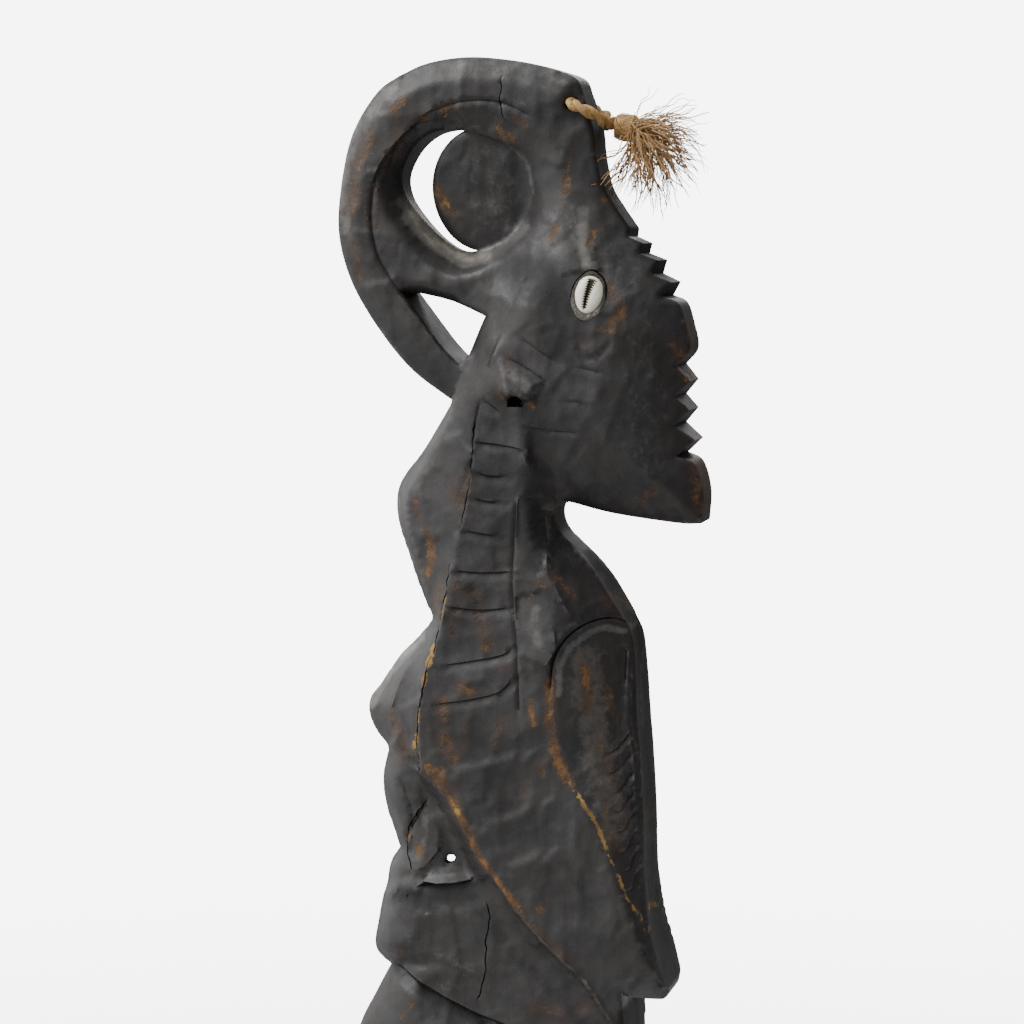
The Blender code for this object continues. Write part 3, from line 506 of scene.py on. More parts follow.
# %% [markdown]
# ## The side view in triangles
# The relief needs a mesh whose edges run along every stroke, so that a cut has a clean bottom and
# clean lips. A plain grid would leave steps across each cut. A constrained triangulation takes the
# strokes as fixed edges and fills the wood between them with an even field of points.


# %% Triangles along every stroke
def filled(path):
    """The same path with points put into its long segments."""
    parts = [path[:1]]
    for start, end in zip(path[:-1], path[1:]):
        count = max(1, round(math.dist(start, end) / LINE_SPACING))
        parts.append(start + (end - start) * np.linspace(0, 1, count + 1)[1:, None])
    return np.vstack(parts)


def side_view():
    """The side view cut into triangles along every stroke, as points and triples."""
    strokes = [np.vstack([loop, loop[:1]]) for loop in [region for region, _ in FORMS] + OPENINGS]
    for stroke, left, right, _ in CUTS:
        strokes += [stroke, beside(stroke, left), beside(stroke, -right)]
    for pit, _ in PITS:
        strokes += [pit, beside(pit, 0.8)]
    for outline, _, _, _, _ in FACETS:
        strokes.append(np.vstack([outline, outline[:1]]))
    strokes += [beside(ring_hole, 1.0), beside(panel_edge, 1.2)]
    strokes = [filled(stroke) for stroke in strokes]
    corners = np.vstack(strokes)
    links, start = [], 0
    for stroke in strokes:
        links += [(start + i, start + i + 1) for i in range(len(stroke) - 1)]
        start += len(stroke)
    tree = KDTree(len(corners))
    for index, corner in enumerate(corners):
        tree.insert((corner[0], corner[1], 0), index)
    tree.balance()
    low, high = corners.min(0), corners.max(0)
    field = []
    for row, z in enumerate(np.arange(low[1], high[1], FIELD_SPACING * math.sqrt(3) / 2)):
        for x in np.arange(low[0] + (row % 2) * FIELD_SPACING / 2, high[0], FIELD_SPACING):
            if tree.find((x, z, 0))[2] > 0.62 * FIELD_SPACING:
                field.append((x, z))
    field = np.array(field)
    wooded = np.zeros(len(field), bool)
    for region, _ in FORMS:
        wooded |= inside(field, region)
    points = [Vector(point) for point in np.vstack([corners, field[wooded]])]
    points, _, triangles, _, _, _ = delaunay_2d_cdt(points, links, [], 0, 1e-3)
    points = np.array([tuple(point) for point in points])
    triangles = np.array([tuple(triangle) for triangle in triangles])
    middles = points[triangles].mean(1)
    kept = np.zeros(len(triangles), bool)
    for region, _ in FORMS:
        kept |= inside(middles, region)
    for opening in OPENINGS:
        kept &= ~inside(middles, opening)
    return points, triangles[kept]


sheet_points, sheet_triangles = side_view()
print(len(sheet_points), "points and", len(sheet_triangles), "triangles in the side view")


# %% The rim: edges that belong to one triangle only
def rim_of(triangles):
    """The edges of the sheet, each as a pair with the wood on its left."""
    pairs = np.vstack([triangles[:, [0, 1]], triangles[:, [1, 2]], triangles[:, [2, 0]]])
    size = int(pairs.max()) + 1
    forward = pairs[:, 0].astype(np.int64) * size + pairs[:, 1]
    backward = pairs[:, 1].astype(np.int64) * size + pairs[:, 0]
    return pairs[~np.isin(forward, backward)]


sheet_rim = rim_of(sheet_triangles)
print(len(sheet_rim), "edges round the rim and the holes")

# %% [markdown]
# ## Tool marks
# A knife takes wood out in shallow scoops, and hands wear the ridges between them. Each scoop is
# a shallow bowl round its own centre and leans its own way, so neighbours catch the light
# differently. Two sizes of scoop are added, both longer along the grain than across.


# %% Scoops
def scoops(points, across, along, depth, lean, seed):
    """Shallow bowls cut side by side, each leaning its own way, as a knife leaves them."""
    chance = np.random.default_rng(seed)
    scale = np.array([across, along])
    low, high = points.min(0) / scale - 1, points.max(0) / scale + 1
    columns, rows = np.meshgrid(np.arange(low[0], high[0]), np.arange(low[1], high[1]))
    centres = np.column_stack([columns.ravel(), rows.ravel()])
    centres += chance.uniform(-0.42, 0.42, centres.shape)
    tree = KDTree(len(centres))
    for index, centre in enumerate(centres):
        tree.insert((centre[0], centre[1], 0), index)
    tree.balance()
    leans = chance.uniform(-lean, lean, centres.shape)
    found = [tree.find((x, z, 0)) for x, z in points / scale]
    owner = np.array([index for _, index, _ in found])
    nearest = np.array([gap for _, _, gap in found])
    away = points - centres[owner] * scale
    return depth * (np.minimum(nearest, 0.7) ** 2 / 0.25 - 1) + (away * leans[owner]).sum(1)


# %% Softening over the sheet
def loosened(values, pairs, held, rounds):
    """The values averaged with their neighbours a few times, where they aren't held."""
    ends, others = np.concatenate([pairs, pairs[:, ::-1]]).T
    count = np.maximum(np.bincount(ends, minlength=len(values)), 1)
    for _ in range(rounds):
        total = np.bincount(ends, values[others], len(values))
        values = np.where(held, values, 0.5 * values + 0.5 * total / count)
    return values


def blurred(points, values, spread):
    """The values blurred over the sheet with a soft round brush."""
    reach, margin = 19, 24
    low = points.min(0) - margin
    cells = np.round(points - low).astype(int)
    shape = cells.max(0) + margin
    total, count = np.zeros(shape), np.zeros(shape)
    np.add.at(total, tuple(cells.T), values)
    np.add.at(count, tuple(cells.T), 1)
    layers = [total / np.maximum(count, 1), (count > 0) * 1.0]
    dab = np.exp(-0.5 * (np.arange(-reach, reach + 1) / spread) ** 2)
    for axis in (0, 1):
        layers = [np.apply_along_axis(np.convolve, axis, layer, dab, "same") for layer in layers]
    soft = layers[0] / np.maximum(layers[1], 1e-9)
    corner = np.floor(points - low).astype(int)
    share = points - low - corner
    result = np.zeros(len(points))
    for across, along in ((0, 0), (0, 1), (1, 0), (1, 1)):
        weight = np.abs(1 - across - share[:, 0]) * np.abs(1 - along - share[:, 1])
        result += weight * soft[corner[:, 0] + across, corner[:, 1] + along]
    return result


# %% The half-width of the forms and the depth of the cuts
THINNEST_FORM, THINNEST_WOOD = 2.0, 1.0


def form_halves(points):
    """The half-width of the forms alone."""
    half = np.full(len(points), THINNEST_FORM)
    for region, halves in FORMS:
        mine = inside(points, region)
        half[mine] = np.maximum(half[mine], halves(points[mine]))
    return half


def groove_depth(points):
    """How deep the cuts go at each point; a crack's depth wavers along it."""
    depth = np.zeros(len(points))
    for index, (stroke, left, right, full) in enumerate(CUTS):
        reach = max(left, right)
        offset = distance(points, stroke, reach)
        close = np.isfinite(offset)
        width = np.where(offset[close] > 0, left, right)
        share = np.clip(1 - np.abs(offset[close]) / width, 0, 1)
        to_end = np.minimum(np.linalg.norm(points[close] - stroke[0], axis=1),
                            np.linalg.norm(points[close] - stroke[-1], axis=1))
        share *= np.clip(to_end / 5, 0.15, 1)
        if index >= len(CUTS) - len(CRACKS):
            share *= 0.6 + 0.4 * np.sin(0.41 * points[close, 1]) * np.cos(0.17 * points[close, 1])
        depth[close] += full * share
    return depth


# %% The forms, softened where they aren't sharp
pairs = np.unique(np.sort(np.vstack([sheet_triangles[:, [0, 1]], sheet_triangles[:, [1, 2]],
                                     sheet_triangles[:, [2, 0]]]), axis=1), axis=0)
plain = form_halves(sheet_points)
rim_tree = KDTree(len(sheet_rim))
for index, vertex in enumerate(sheet_rim[:, 0]):
    rim_tree.insert((*sheet_points[vertex], 0), index)
rim_tree.balance()
to_rim = np.array([rim_tree.find((x, z, 0))[2] for x, z in sheet_points])
sharp = away_from(sheet_points, panel_edge, 1.6) < 1.5
for stroke in (ring_hole, disc_edge):
    sharp |= (away_from(sheet_points, stroke, 1.6) < 1.5) & (to_rim < 2.5)
smooth = loosened(plain, pairs, sharp, 3)
for stroke, breadth, spread in BLENDS:
    near = np.clip(1.5 - 1.5 * away_from(sheet_points, stroke, breadth) / breadth, 0, 1)
    near = np.where(sharp, 0, near * near * (3 - 2 * near))
    smooth += near * (blurred(sheet_points, smooth, spread) - smooth)
print("the forms' half-width goes up to", round(smooth.max(), 1), "mm")

# %% The half-width of the wood, with its facets, cuts, worn arrises and tool marks
ARRIS_DROP, ARRIS_BREADTH = 1.6, 3.2
cut_depth = groove_depth(sheet_points)
rounding = ARRIS_DROP * np.clip(1 - to_rim / ARRIS_BREADTH, 0, 1) ** 2
tooled = scoops(sheet_points, 9, 14, 0.22, 0.045, 4) + scoops(sheet_points, 22, 34, 0.4, 0.04, 9)
tooled = loosened(tooled, pairs, sharp, 1)
for outline, pivot, along_x, along_height, lift in FACETS:
    mine = inside(sheet_points, outline)
    away = sheet_points[mine] - pivot
    smooth[mine] += lift + along_x * away[:, 0] + along_height * away[:, 1]
    tooled[mine] *= 0.4
half_width = smooth - cut_depth - rounding + tooled * np.clip(to_rim / 4, 0.25, 1)
for centre, floor, slope in FUNNELS:
    half_width = np.minimum(half_width, floor + slope * np.linalg.norm(sheet_points - centre, axis=1))
for pit, depth in PITS:
    half_width[inside(sheet_points, beside(pit, 0.4))] -= depth
half_width = np.maximum(half_width, THINNEST_WOOD)
print("half-width from", round(half_width.min(), 1), "to", round(half_width.max(), 1), "mm")


# %% From the sheet to the carving
def slab(points, triangles, rim, half):
    """Corners and faces of the near face, the far face and the edge of the slab between them."""
    count = len(points)
    outward = np.zeros((count, 2))
    run = points[rim[:, 1]] - points[rim[:, 0]]
    run /= np.maximum(np.linalg.norm(run, axis=1), 1e-9)[:, None]
    for end in (0, 1):
        np.add.at(outward, rim[:, end], np.column_stack([run[:, 1], -run[:, 0]]))
    outward /= np.maximum(np.linalg.norm(outward, axis=1), 1e-9)[:, None]
    across = np.linspace(-1, 1, WALL_STRIPS + 1)
    hollow = np.zeros((WALL_STRIPS + 1, count))
    for stroke, depth, share in HOLLOWS:
        nearby = away_from(points, stroke, 1.0) < 0.5
        profile = np.clip(1 - (across / share) ** 2, 0, 1)
        to_end = np.minimum(np.linalg.norm(points - stroke[0], axis=1),
                            np.linalg.norm(points - stroke[-1], axis=1))
        hollow = np.maximum(hollow, depth * profile[:, None] * nearby * np.clip(to_end / 15, 0, 1))
    from_hole = np.linalg.norm(points - LIMB_HOLE, axis=1)
    slant = np.clip(1 - (from_hole / SLANT_REACH) ** 2, 0, 1)[:, None] ** 2 * LIMB_HOLE_SLANT
    verts = [(x, -y, z) for (x, z), y in zip(points, half)]
    verts += [(x, y, z) for (x, z), y in zip(points + slant, half)]
    rows = {}
    for vertex in sorted(set(rim.ravel().tolist())):
        row = [vertex]
        for strip in range(1, WALL_STRIPS):
            x, z = points[vertex] - hollow[strip, vertex] * outward[vertex]
            x, z = np.array([x, z]) + strip / WALL_STRIPS * slant[vertex]
            row.append(len(verts))
            verts.append((x, across[strip] * half[vertex], z))
        rows[vertex] = row + [vertex + count]
    faces = triangles.tolist() + (triangles[:, ::-1] + count).tolist()
    for a, b in rim.tolist():
        for strip in range(WALL_STRIPS):
            near_a, far_a = rows[a][strip], rows[a][strip + 1]
            near_b, far_b = rows[b][strip], rows[b][strip + 1]
            faces.append((near_b, near_a, far_a, far_b))
    scaled = np.array(verts, float) * UNIT
    scaled[:, 2] += BASE_HEIGHT
    return scaled, faces


wood_verts, wood_faces = slab(sheet_points, sheet_triangles, sheet_rim, half_width)
print(len(wood_faces), "faces in the carving")

# %% [markdown]
# ## The base
# The photographed figure is cut off below the knees, so the low base is a guess: a plain oval
# block that the feet grow out of, with a worn edge. It is turned here as a stack of oval rings with
# a slightly uneven rim, because a hand-cut block isn't a true ellipse.


# %% Oval rings
def oval_stack(rings, sides, wobble=0.0, seed=0):
    """Corners and faces of a closed body of oval rings: height, half-length and half-width."""
    chance = np.random.default_rng(seed)
    angles = np.linspace(0, math.tau, sides, endpoint=False)
    swell = np.ones(sides)
    for wave in (2, 3, 5, 9):
        swell += wobble / wave * np.cos(wave * angles + chance.uniform(0, math.tau))
    verts, faces = [], []
    for height, across, up in rings:
        for angle, grow in zip(angles, swell):
            verts.append((across * grow * math.cos(angle), up * grow * math.sin(angle), height))
    for ring in range(len(rings) - 1):
        for side in range(sides):
            a = ring * sides + side
            b = ring * sides + (side + 1) % sides
            faces.append((a, b, b + sides, a + sides))
    faces.append(tuple(range(sides))[::-1])
    faces.append(tuple(range((len(rings) - 1) * sides, len(rings) * sides)))
    return np.array(verts), faces


# %% The base's rings, from the floor to just above the top
BASE_SLACK = 0.0006
BASE_TOP_LIFT = 0.0002
BASE_SIDES = 160
half_length, half_base = BASE_LENGTH / 2 - BASE_SLACK, BASE_WIDTH / 2 - BASE_SLACK
base_rings = [(height, half_length - inset, half_base - inset)
              for height, inset in ((0, 0.003), (0.0015, 0.0008))]
base_rings += [(height, half_length, half_base) for height in np.linspace(0.004, 0.025, 8)]
base_rings += [(height, half_length - inset, half_base - inset)
               for height, inset in ((0.0285, 0.0012), (BASE_HEIGHT, 0.0038))]
base_rings += [(BASE_HEIGHT + BASE_TOP_LIFT, (half_length - 0.004) * share, (half_base - 0.004) * share)
               for share in (0.97, 0.9, 0.8, 0.65, 0.5, 0.3, 0.1)]
base_verts, base_faces = oval_stack(base_rings, BASE_SIDES, 0.004, 3)
base_verts[:, 0] += BASE_CENTRE_X
base_verts[:, 0] = np.clip(base_verts[:, 0], BASE_CENTRE_X - BASE_LENGTH / 2,
                           BASE_CENTRE_X + BASE_LENGTH / 2)
print(len(base_faces), "faces in the base")


# %% One wooden piece of the carving and its base
def solid(name, verts, faces, smooth_angle=40):
    """An object of the corners and faces, shaded smooth but for sharp edges."""
    mesh = bpy.data.meshes.new(name)
    mesh.from_pydata([tuple(v) for v in verts], [], [tuple(face) for face in faces])
    work = bmesh.new()
    work.from_mesh(mesh)
    loose = [vertex for vertex in work.verts if not vertex.link_faces]
    bmesh.ops.delete(work, geom=loose, context="VERTS")
    work.to_mesh(mesh)
    work.free()
    mesh.shade_smooth()
    mesh.set_sharp_from_angle(angle=math.radians(smooth_angle))
    made = bpy.data.objects.new(name, mesh)
    bpy.context.scene.collection.objects.link(made)
    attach(made, "root")
    return made


shifted = [tuple(corner + len(wood_verts) for corner in face) for face in base_faces]
carving = solid("carved_wood", np.vstack([wood_verts, base_verts]), wood_faces + shifted, 50)
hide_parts("carved_figure")
print("the wood has", sum(len(face.vertices) - 2 for face in carving.data.polygons), "triangles")

# %% [markdown]
# ## Where the wood is worn, and where light and shade are painted
# The dark skin is rubbed through to orange-brown wood on the edges that hands and shelves touch,
# and to raw yellow wood inside the cracks and on the wing's arris. Patches that sit in certain
# places can't come from a noise texture alone, so each is drawn as a short stroke on the sheet,
# and its strength is stored on the mesh. The shader breaks its edge up with noise later. Pale
# places are scuffed, polished spots painted lighter as highlights, and dark patches are painted
# shade under forms, in hollows and on faces turned from the light. A patch is its stroke, its
# radius and its strength, which is over 1 where the noise mustn't break it up.

# %% Patches of orange-brown wood
RUST = [
    (((52, 335), (60, 290), (72, 240)), 14, 0.45),
    (((-92, 600), (-90, 616)), 7, 0.9), (((-89, 626), (-80, 644)), 6, 0.9),
    (((-66, 658), (-61, 666)), 6, 0.8),
    (((-38, 659), (-31, 662)), 4, 1.0), (((-52, 653), (-48, 655)), 5, 0.8),
    (((8, 653), (12, 650)), 4, 1.0),
    (((-92, 582), (-87, 561)), 6, 0.6), (((-78, 612), (-76, 590)), 5, 0.5),
    (((-62, 647), (-70, 632)), 8, 0.6),
    (((-43, 612), (-38, 603)), 6, 1.0), (((-36, 600), (-32, 598)), 4, 0.9),
    (((-5, 647), (4, 641)), 5, 0.9),
    (((37, 618), (37, 610)), 4.5, 1.1), (((35, 602), (34, 598)), 2, 1.0),
    (((33, 590), (30, 583)), 3.2, 1.1),
    (((59, 622), (60, 606)), 5, 0.9), (((53, 587), (52, 579)), 3.5, 0.9),
    (((53, 587), (59, 588)), 2.5, 0.8),
    (((38, 630), (37, 619)), 2.5, 0.8), (((41, 640), (40, 634)), 2.5, 0.6),
    (((62, 558), (69, 547)), 5, 0.9), (((72, 541), (66, 531)), 5.5, 1.1),
    (((60, 529), (66, 528)), 4, 0.7),
    (((49, 521), (54, 518)), 3, 0.8), (((40, 551), (36, 545)), 4, 0.5),
    (((108, 541), (111, 525)), 4, 0.8), (((102, 520), (107, 512)), 5, 0.9),
    (((106, 506), (109, 500)), 4, 0.9), (((110, 482), (112, 467)), 4, 0.8),
    (((114, 452), (117, 424)), 7, 0.8), (((92, 435), (86, 433)), 3, 1.0),
    (((80, 431), (84, 429)), 3, 0.9),
    (((1, 493), (3, 490)), 2.8, 1.2), (((18, 486), (20, 484)), 2.8, 1.1), (((6, 512), (2, 500)), 4, 0.6),
    (((-45, 411), (-42, 402), (-41, 393), (-45, 384)), 4, 1.2), (((-53, 428), (-50, 418)), 5, 0.7),
    (((-20, 440), (-24, 425)), 5, 0.8), (((-30, 429), (-27, 440)), 5, 0.6),
    (((-36, 378), (-40, 362)), 6, 0.7),
    (((-25, 378), (-12, 374)), 6, 0.9), (((-14, 372), (-6, 345)), 8, 0.8),
    (((-24, 368), (-26, 350)), 5, 0.8),
    (((8, 333), (4, 330)), 4, 0.6), (((-22, 319), (-14, 316)), 5, 0.9),
    (((-33, 311), (-30, 300)), 6, 0.8),
    (((-31, 290), (-25, 276)), 6, 1.0), (((-18, 298), (-20, 284)), 6, 0.7),
    (((-34, 268), (-26, 252)), 6, 0.9),
    (((28, 430), (30, 418)), 3, 0.6), (((33, 386), (46, 371)), 4, 0.7), (((61, 371), (70, 360)), 4, 0.7),
    (((24, 380), (37, 383)), 4, 0.7), (((32, 322), (32, 300), (35, 283)), 4, 1.3),
    (((35, 283), (40, 270), (44, 263)), 5, 1.3), (((52, 330), (54, 306)), 4.5, 1.1),
    (((64, 315), (70, 295)), 4, 0.6), (((61, 284), (67, 268)), 5, 0.7), (((64, 241), (72, 223)), 5, 0.6),
    (((60, 262), (66, 246)), 4, 0.6), (((20, 312), (23, 298)), 3, 0.9), (((5, 300), (-1, 285)), 5, 0.7),
    (((25, 189), (28, 187)), 4, 1.1), (((38, 212), (50, 194)), 4, 0.5), (((29, 277), (27, 268)), 4, 0.8),
    (((17, 259), (20, 250)), 4, 0.6),
    (((-41, 271), (-28, 254), (-20, 239), (-12, 221), (-5, 211)), 4, 1.2),
    (((-5, 211), (1, 204), (13, 189)), 3, 1.1), (((13, 189), (28, 172), (43, 157)), 2.4, 0.8),
    (((-58, 229), (-56, 226)), 3, 1.1), (((-51, 221), (-49, 218)), 4, 1.2),
    (((-61, 273), (-66, 300)), 6, 0.7),
    (((-64, 294), (-56, 276)), 6, 0.9), (((-29, 191), (-24, 186)), 4, 0.4),
    (((-64, 151), (-60, 158)), 4, 0.7),
    (((20, 127), (38, 125)), 5, 0.7), (((-53, 128), (-60, 118)), 5, 0.6),
    (((44, 120), (56, 132)), 5, 0.6),
    (((-72, 60), (-66, 40)), 6, 0.6), (((40, 60), (44, 40)), 6, 0.5), (((-30, 12), (-10, 8)), 6, 0.5),
]
print(len(RUST), "patches of orange-brown wood")

# %% Patches of raw yellow wood, of scuffs painted lighter as highlights, and of painted shade
RAW = [
    (((-38, 342), (-41, 332)), 3.0, 1.2), (((-42, 326), (-44, 320)), 3.0, 1.1),
    (((-49, 288), (-51, 282)), 3.5, 1.0),
    (((-34, 358), (-31, 372)), 1.8, 0.9), (((-46, 306), (-47, 298)), 1.8, 0.9),
    (((44, 264), (52, 252)), 2.2, 1.1), (((52, 252), (60, 239), (66, 224)), 1.9, 1.25),
    (((66, 224), (77, 198), (86, 180)), 1.4, 0.95), (((86, 180), (95, 163), (101, 146)), 1.1, 0.8),
    (((-37, 652), (-35, 656)), 2.0, 0.8),
    (((-38, 605), (-36, 602)), 2.5, 0.8), (((-45, 402), (-42, 396)), 2.2, 0.7),
    (((-28, 254), (-22, 244)), 1.8, 0.8),
    (((18, 377), (20, 374)), 2.2, 0.8),
]
# Scuffed, polished places painted lighter as highlights where facets face the light: the ring's bevel,
# the bulges, the ear hood, the wing's rim and the panel ridge.
SCUFF_HIGHLIGHTS = [
    (((-58, 597), (-48, 585), (-38, 577), (-25, 571), (-12, 573)), 6.5, 1.5),
    (((-62, 606), (-40, 578), (-22, 570), (-2, 577), (10, 590)), 7, 0.95),
    (((46, 598), (50, 575)), 9, 0.8), (((66, 575), (82, 510), (90, 450)), 28, 0.48),
    (((-14, 625), (-8, 600)), 34, 0.5), (((52, 335), (58, 285), (70, 235)), 17, 0.75),
    (((40, 600), (46, 580)), 9, 0.6), (((-96, 590), (-98, 620), (-90, 645), (-72, 668)), 8, 0.8),
    (((-40, 120), (-20, 150), (-60, 165)), 18, 0.45),
    (((-100, 610), (-97, 632), (-88, 652)), 5, 0.9), (((-82, 660), (-66, 672)), 6, 0.8),
    (((47, 590), (49, 578), (51, 567)), 4.5, 1.15), (((5, 506), (14, 500), (20, 494)), 7, 0.72),
    (((24, 366), (21, 354), (28, 342)), 6, 0.65), (((26, 419), (29, 404), (31, 388), (39, 371)), 2, 0.7),
    (((-46, 244), (-46, 228), (-50, 214)), 6, 0.6), (((-42, 204), (-30, 209), (-20, 206)), 5, 0.6),
    (((-67, 212), (-71, 194)), 5, 0.5),
    (((-84, 305), (-78, 318), (-66, 332), (-52, 346)), 6, 1.5),
    (((-67, 428), (-66, 412), (-58, 390)), 4, 0.8),
    (((-98, 560), (-84, 538), (-62, 512)), 4, 0.6), (((0, 641), (12, 628), (16, 610)), 3, 0.7),
    (((-8, 648), (20, 670)), 8, 0.5), (((30, 668), (6, 676)), 8, 0.5),
    (((110, 530), (108, 518)), 4, 0.5),
    (((116, 447), (117, 430)), 4, 0.6),
    (((37, 316), (38, 333), (44, 344), (53, 351), (62, 354), (72, 351)), 3.2, 1.0),
    (((-12, 222), (12, 187), (30, 166), (52, 145), (66, 123)), 2.4, 0.75),
    (((-83, 306), (-76, 318), (-62, 334)), 5, 0.8), (((-30, 685), (10, 684), (36, 676)), 7, 0.6),
    (((77, 337), (77, 317), (78, 295), (82, 274), (83, 253)), 1.5, 0.6),
]
# Painted shade: soft dark patches under the hand, the jaw and the ridges, in hollows, and on faces
# turned from the light, such as the tooth fronts and the haunch's front wall.
SHADE_PATCHES = [
    (((4, 568), (26, 562), (38, 545), (34, 520)), 16, 0.85),
    (((46, 668), (54, 640), (58, 614), (66, 601), (74, 589)), 3.5, 0.9),
    (((74, 589), (82, 580), (80, 574), (91, 570), (88, 562), (99, 557), (94, 549)), 4, 1.0),
    (((75, 125), (75, 80), (68, 42)), 5, 1.0),
    (((-58, 190), (-40, 192), (-18, 194)), 11, 0.85), (((18, 424), (20, 392)), 6, 0.7),
    (((-34, 222), (-18, 196), (2, 168)), 7, 0.6), (((8, 160), (34, 136), (48, 120)), 6, 0.6),
    (((40, 300), (44, 262)), 6, 0.4), (((-46, 130), (-20, 118), (0, 108)), 7, 0.6),
    (((-10, 480), (-4, 440), (-10, 400), (-20, 350)), 22, 0.68),
    (((40, 420), (60, 450), (95, 440)), 14, 0.3),
    (((-20, 300), (0, 270), (10, 240)), 24, 0.55), (((40, 210), (60, 170)), 20, 0.3),
    (((-88, 640), (-70, 655), (-40, 668)), 5, 0.3), (((-56, 276), (-60, 262), (-52, 250)), 6, 0.5),
    (((20, 160), (30, 200), (20, 250)), 16, 0.35), (((-30, 260), (0, 280)), 10, 0.3),
]


# %% From patches to numbers on the mesh
def patch_strength(points, patches):
    """How strongly the patches mark each point of the sheet, from 0 to 1 and a little over."""
    strength = np.zeros(len(points))
    for places, radius, full in patches:
        stroke = np.array(places, float)
        gap = away_from(points, stroke, 2 * radius)
        close = np.isfinite(gap)
        fade = np.clip(1.25 - gap[close] / radius, 0, 1)
        strength[close] = np.maximum(strength[close], full * fade)
    return strength


def bulging(mesh):
    """How far each corner stands out from its neighbours, as a share of their distance."""
    count = len(mesh.vertices)
    places = np.empty(count * 3)
    mesh.vertices.foreach_get("co", places)
    places = places.reshape(-1, 3)
    normals = np.empty(count * 3)
    mesh.vertices.foreach_get("normal", normals)
    normals = normals.reshape(-1, 3)
    ends = np.empty(len(mesh.edges) * 2, np.int32)
    mesh.edges.foreach_get("vertices", ends)
    ends = ends.reshape(-1, 2)
    total, number = np.zeros(count), np.zeros(count)
    for a, b in ((0, 1), (1, 0)):
        step = places[ends[:, a]] - places[ends[:, b]]
        length = np.maximum(np.linalg.norm(step, axis=1), 1e-7)
        out = (normals[ends[:, a]] * step).sum(1) / length
        np.add.at(total, ends[:, a], out)
        np.add.at(number, ends[:, a], 1)
    bulge = total / np.maximum(number, 1)
    both = np.zeros(count)
    for a, b in ((0, 1), (1, 0)):
        np.add.at(both, ends[:, a], bulge[ends[:, b]])
    return places, 0.5 * bulge + 0.5 * both / np.maximum(number, 1)


def mark(mesh, name, values):
    """Stores one number for each corner of the mesh, for the shader to read."""
    layer = mesh.attributes.new(name, "FLOAT", "POINT")
    layer.data.foreach_set("value", np.asarray(values, np.float32))


DEEP_CUT = 2.2
places, bulge = bulging(carving.data)
on_sheet = np.column_stack([places[:, 0] / UNIT, (places[:, 2] - BASE_HEIGHT) / UNIT])
for name, patches in (("rust", RUST), ("raw", RAW), ("scuff_highlight", SCUFF_HIGHLIGHTS), ("painted_shade", SHADE_PATCHES)):
    mark(carving.data, name, patch_strength(on_sheet, patches))
mark(carving.data, "bulge", bulge)
mark(carving.data, "cut", np.clip(groove_depth(on_sheet) / DEEP_CUT, 0, 1))
print("bulge from", round(float(bulge.min()), 2), "to", round(float(bulge.max()), 2))

# %% [markdown]
# ## Shader helpers
# Every material here is built from the same few nodes, so a short helper adds one node, sets its
# numbers and links its inputs. Effects that several finishes share are node groups: `blotches`
# gives an uneven mask with ragged edges, and `streaks` gives fine fibres along one direction.


# %% Node helpers
def add(tree, kind, inputs=None, **settings):
    """One node with its settings; an input is a number, a colour or another node's output."""
    node = tree.nodes.new(kind)
    for name, value in settings.items():
        setattr(node, name, value)
    for key, value in (inputs or {}).items():
        if isinstance(value, bpy.types.NodeSocket):
            tree.links.new(value, node.inputs[key])
        else:
            node.inputs[key].default_value = value
    return node


def blend(tree, factor, low, high):
    """A mix of two colours."""
    node = add(tree, "ShaderNodeMix", {0: factor, 6: low, 7: high}, data_type="RGBA")
    return node.outputs[2]


def arithmetic(tree, operation, first, second, clamp=False):
    """One sum of two numbers."""
    node = add(tree, "ShaderNodeMath", {0: first, 1: second}, operation=operation, use_clamp=clamp)
    return node.outputs[0]


def times(tree, value, factor):
    """A number times another."""
    return arithmetic(tree, "MULTIPLY", value, factor)


def plus(tree, first, second, share):
    """The first number and a share of the second."""
    return arithmetic(tree, "ADD", first, times(tree, second, share))


def scaled(tree, value, factor, offset):
    """A number times a factor, and an offset."""
    node = add(tree, "ShaderNodeMath", {0: value, 1: factor, 2: offset}, operation="MULTIPLY_ADD")
    return node.outputs[0]


def between(tree, value, low, high):
    """Nought below the low value, one above the high one and a smooth rise between."""
    node = add(tree, "ShaderNodeMapRange", {0: value, 1: low, 2: high, 3: 0.0, 4: 1.0},
               interpolation_type="SMOOTHSTEP")
    return node.outputs[0]


def cover(tree, under, mask, strength, colour):
    """The colours under a mask, covered with one more colour as far as its strength allows."""
    return blend(tree, times(tree, mask, strength), under, colour)


def noise(tree, vector, scale, detail, roughness):
    """A noise texture's value."""
    node = add(tree, "ShaderNodeTexNoise", {"Vector": vector, "Scale": scale, "Detail": detail,
                                            "Roughness": roughness})
    return node.outputs[0]


def drawn(tree, name):
    """A number stored on the mesh."""
    return add(tree, "ShaderNodeAttribute", attribute_name=name).outputs["Fac"]


def bumped(tree, height, strength, distance):
    """The surface's normal, tilted by a height."""
    node = add(tree, "ShaderNodeBump", {"Strength": strength, "Distance": distance, "Height": height})
    return node.outputs[0]


# %% Group helpers
def group(name, numbers, outputs):
    """An empty node group with a Vector input, number inputs and number outputs."""
    tree = bpy.data.node_groups.new(name, "ShaderNodeTree")
    tree.interface.new_socket("Vector", in_out="INPUT", socket_type="NodeSocketVector")
    for label, value in numbers.items():
        socket = tree.interface.new_socket(label, in_out="INPUT", socket_type="NodeSocketFloat")
        socket.default_value = value
    for label in outputs:
        tree.interface.new_socket(label, in_out="OUTPUT", socket_type="NodeSocketFloat")
    return tree, tree.nodes.new("NodeGroupInput").outputs, tree.nodes.new("NodeGroupOutput").inputs


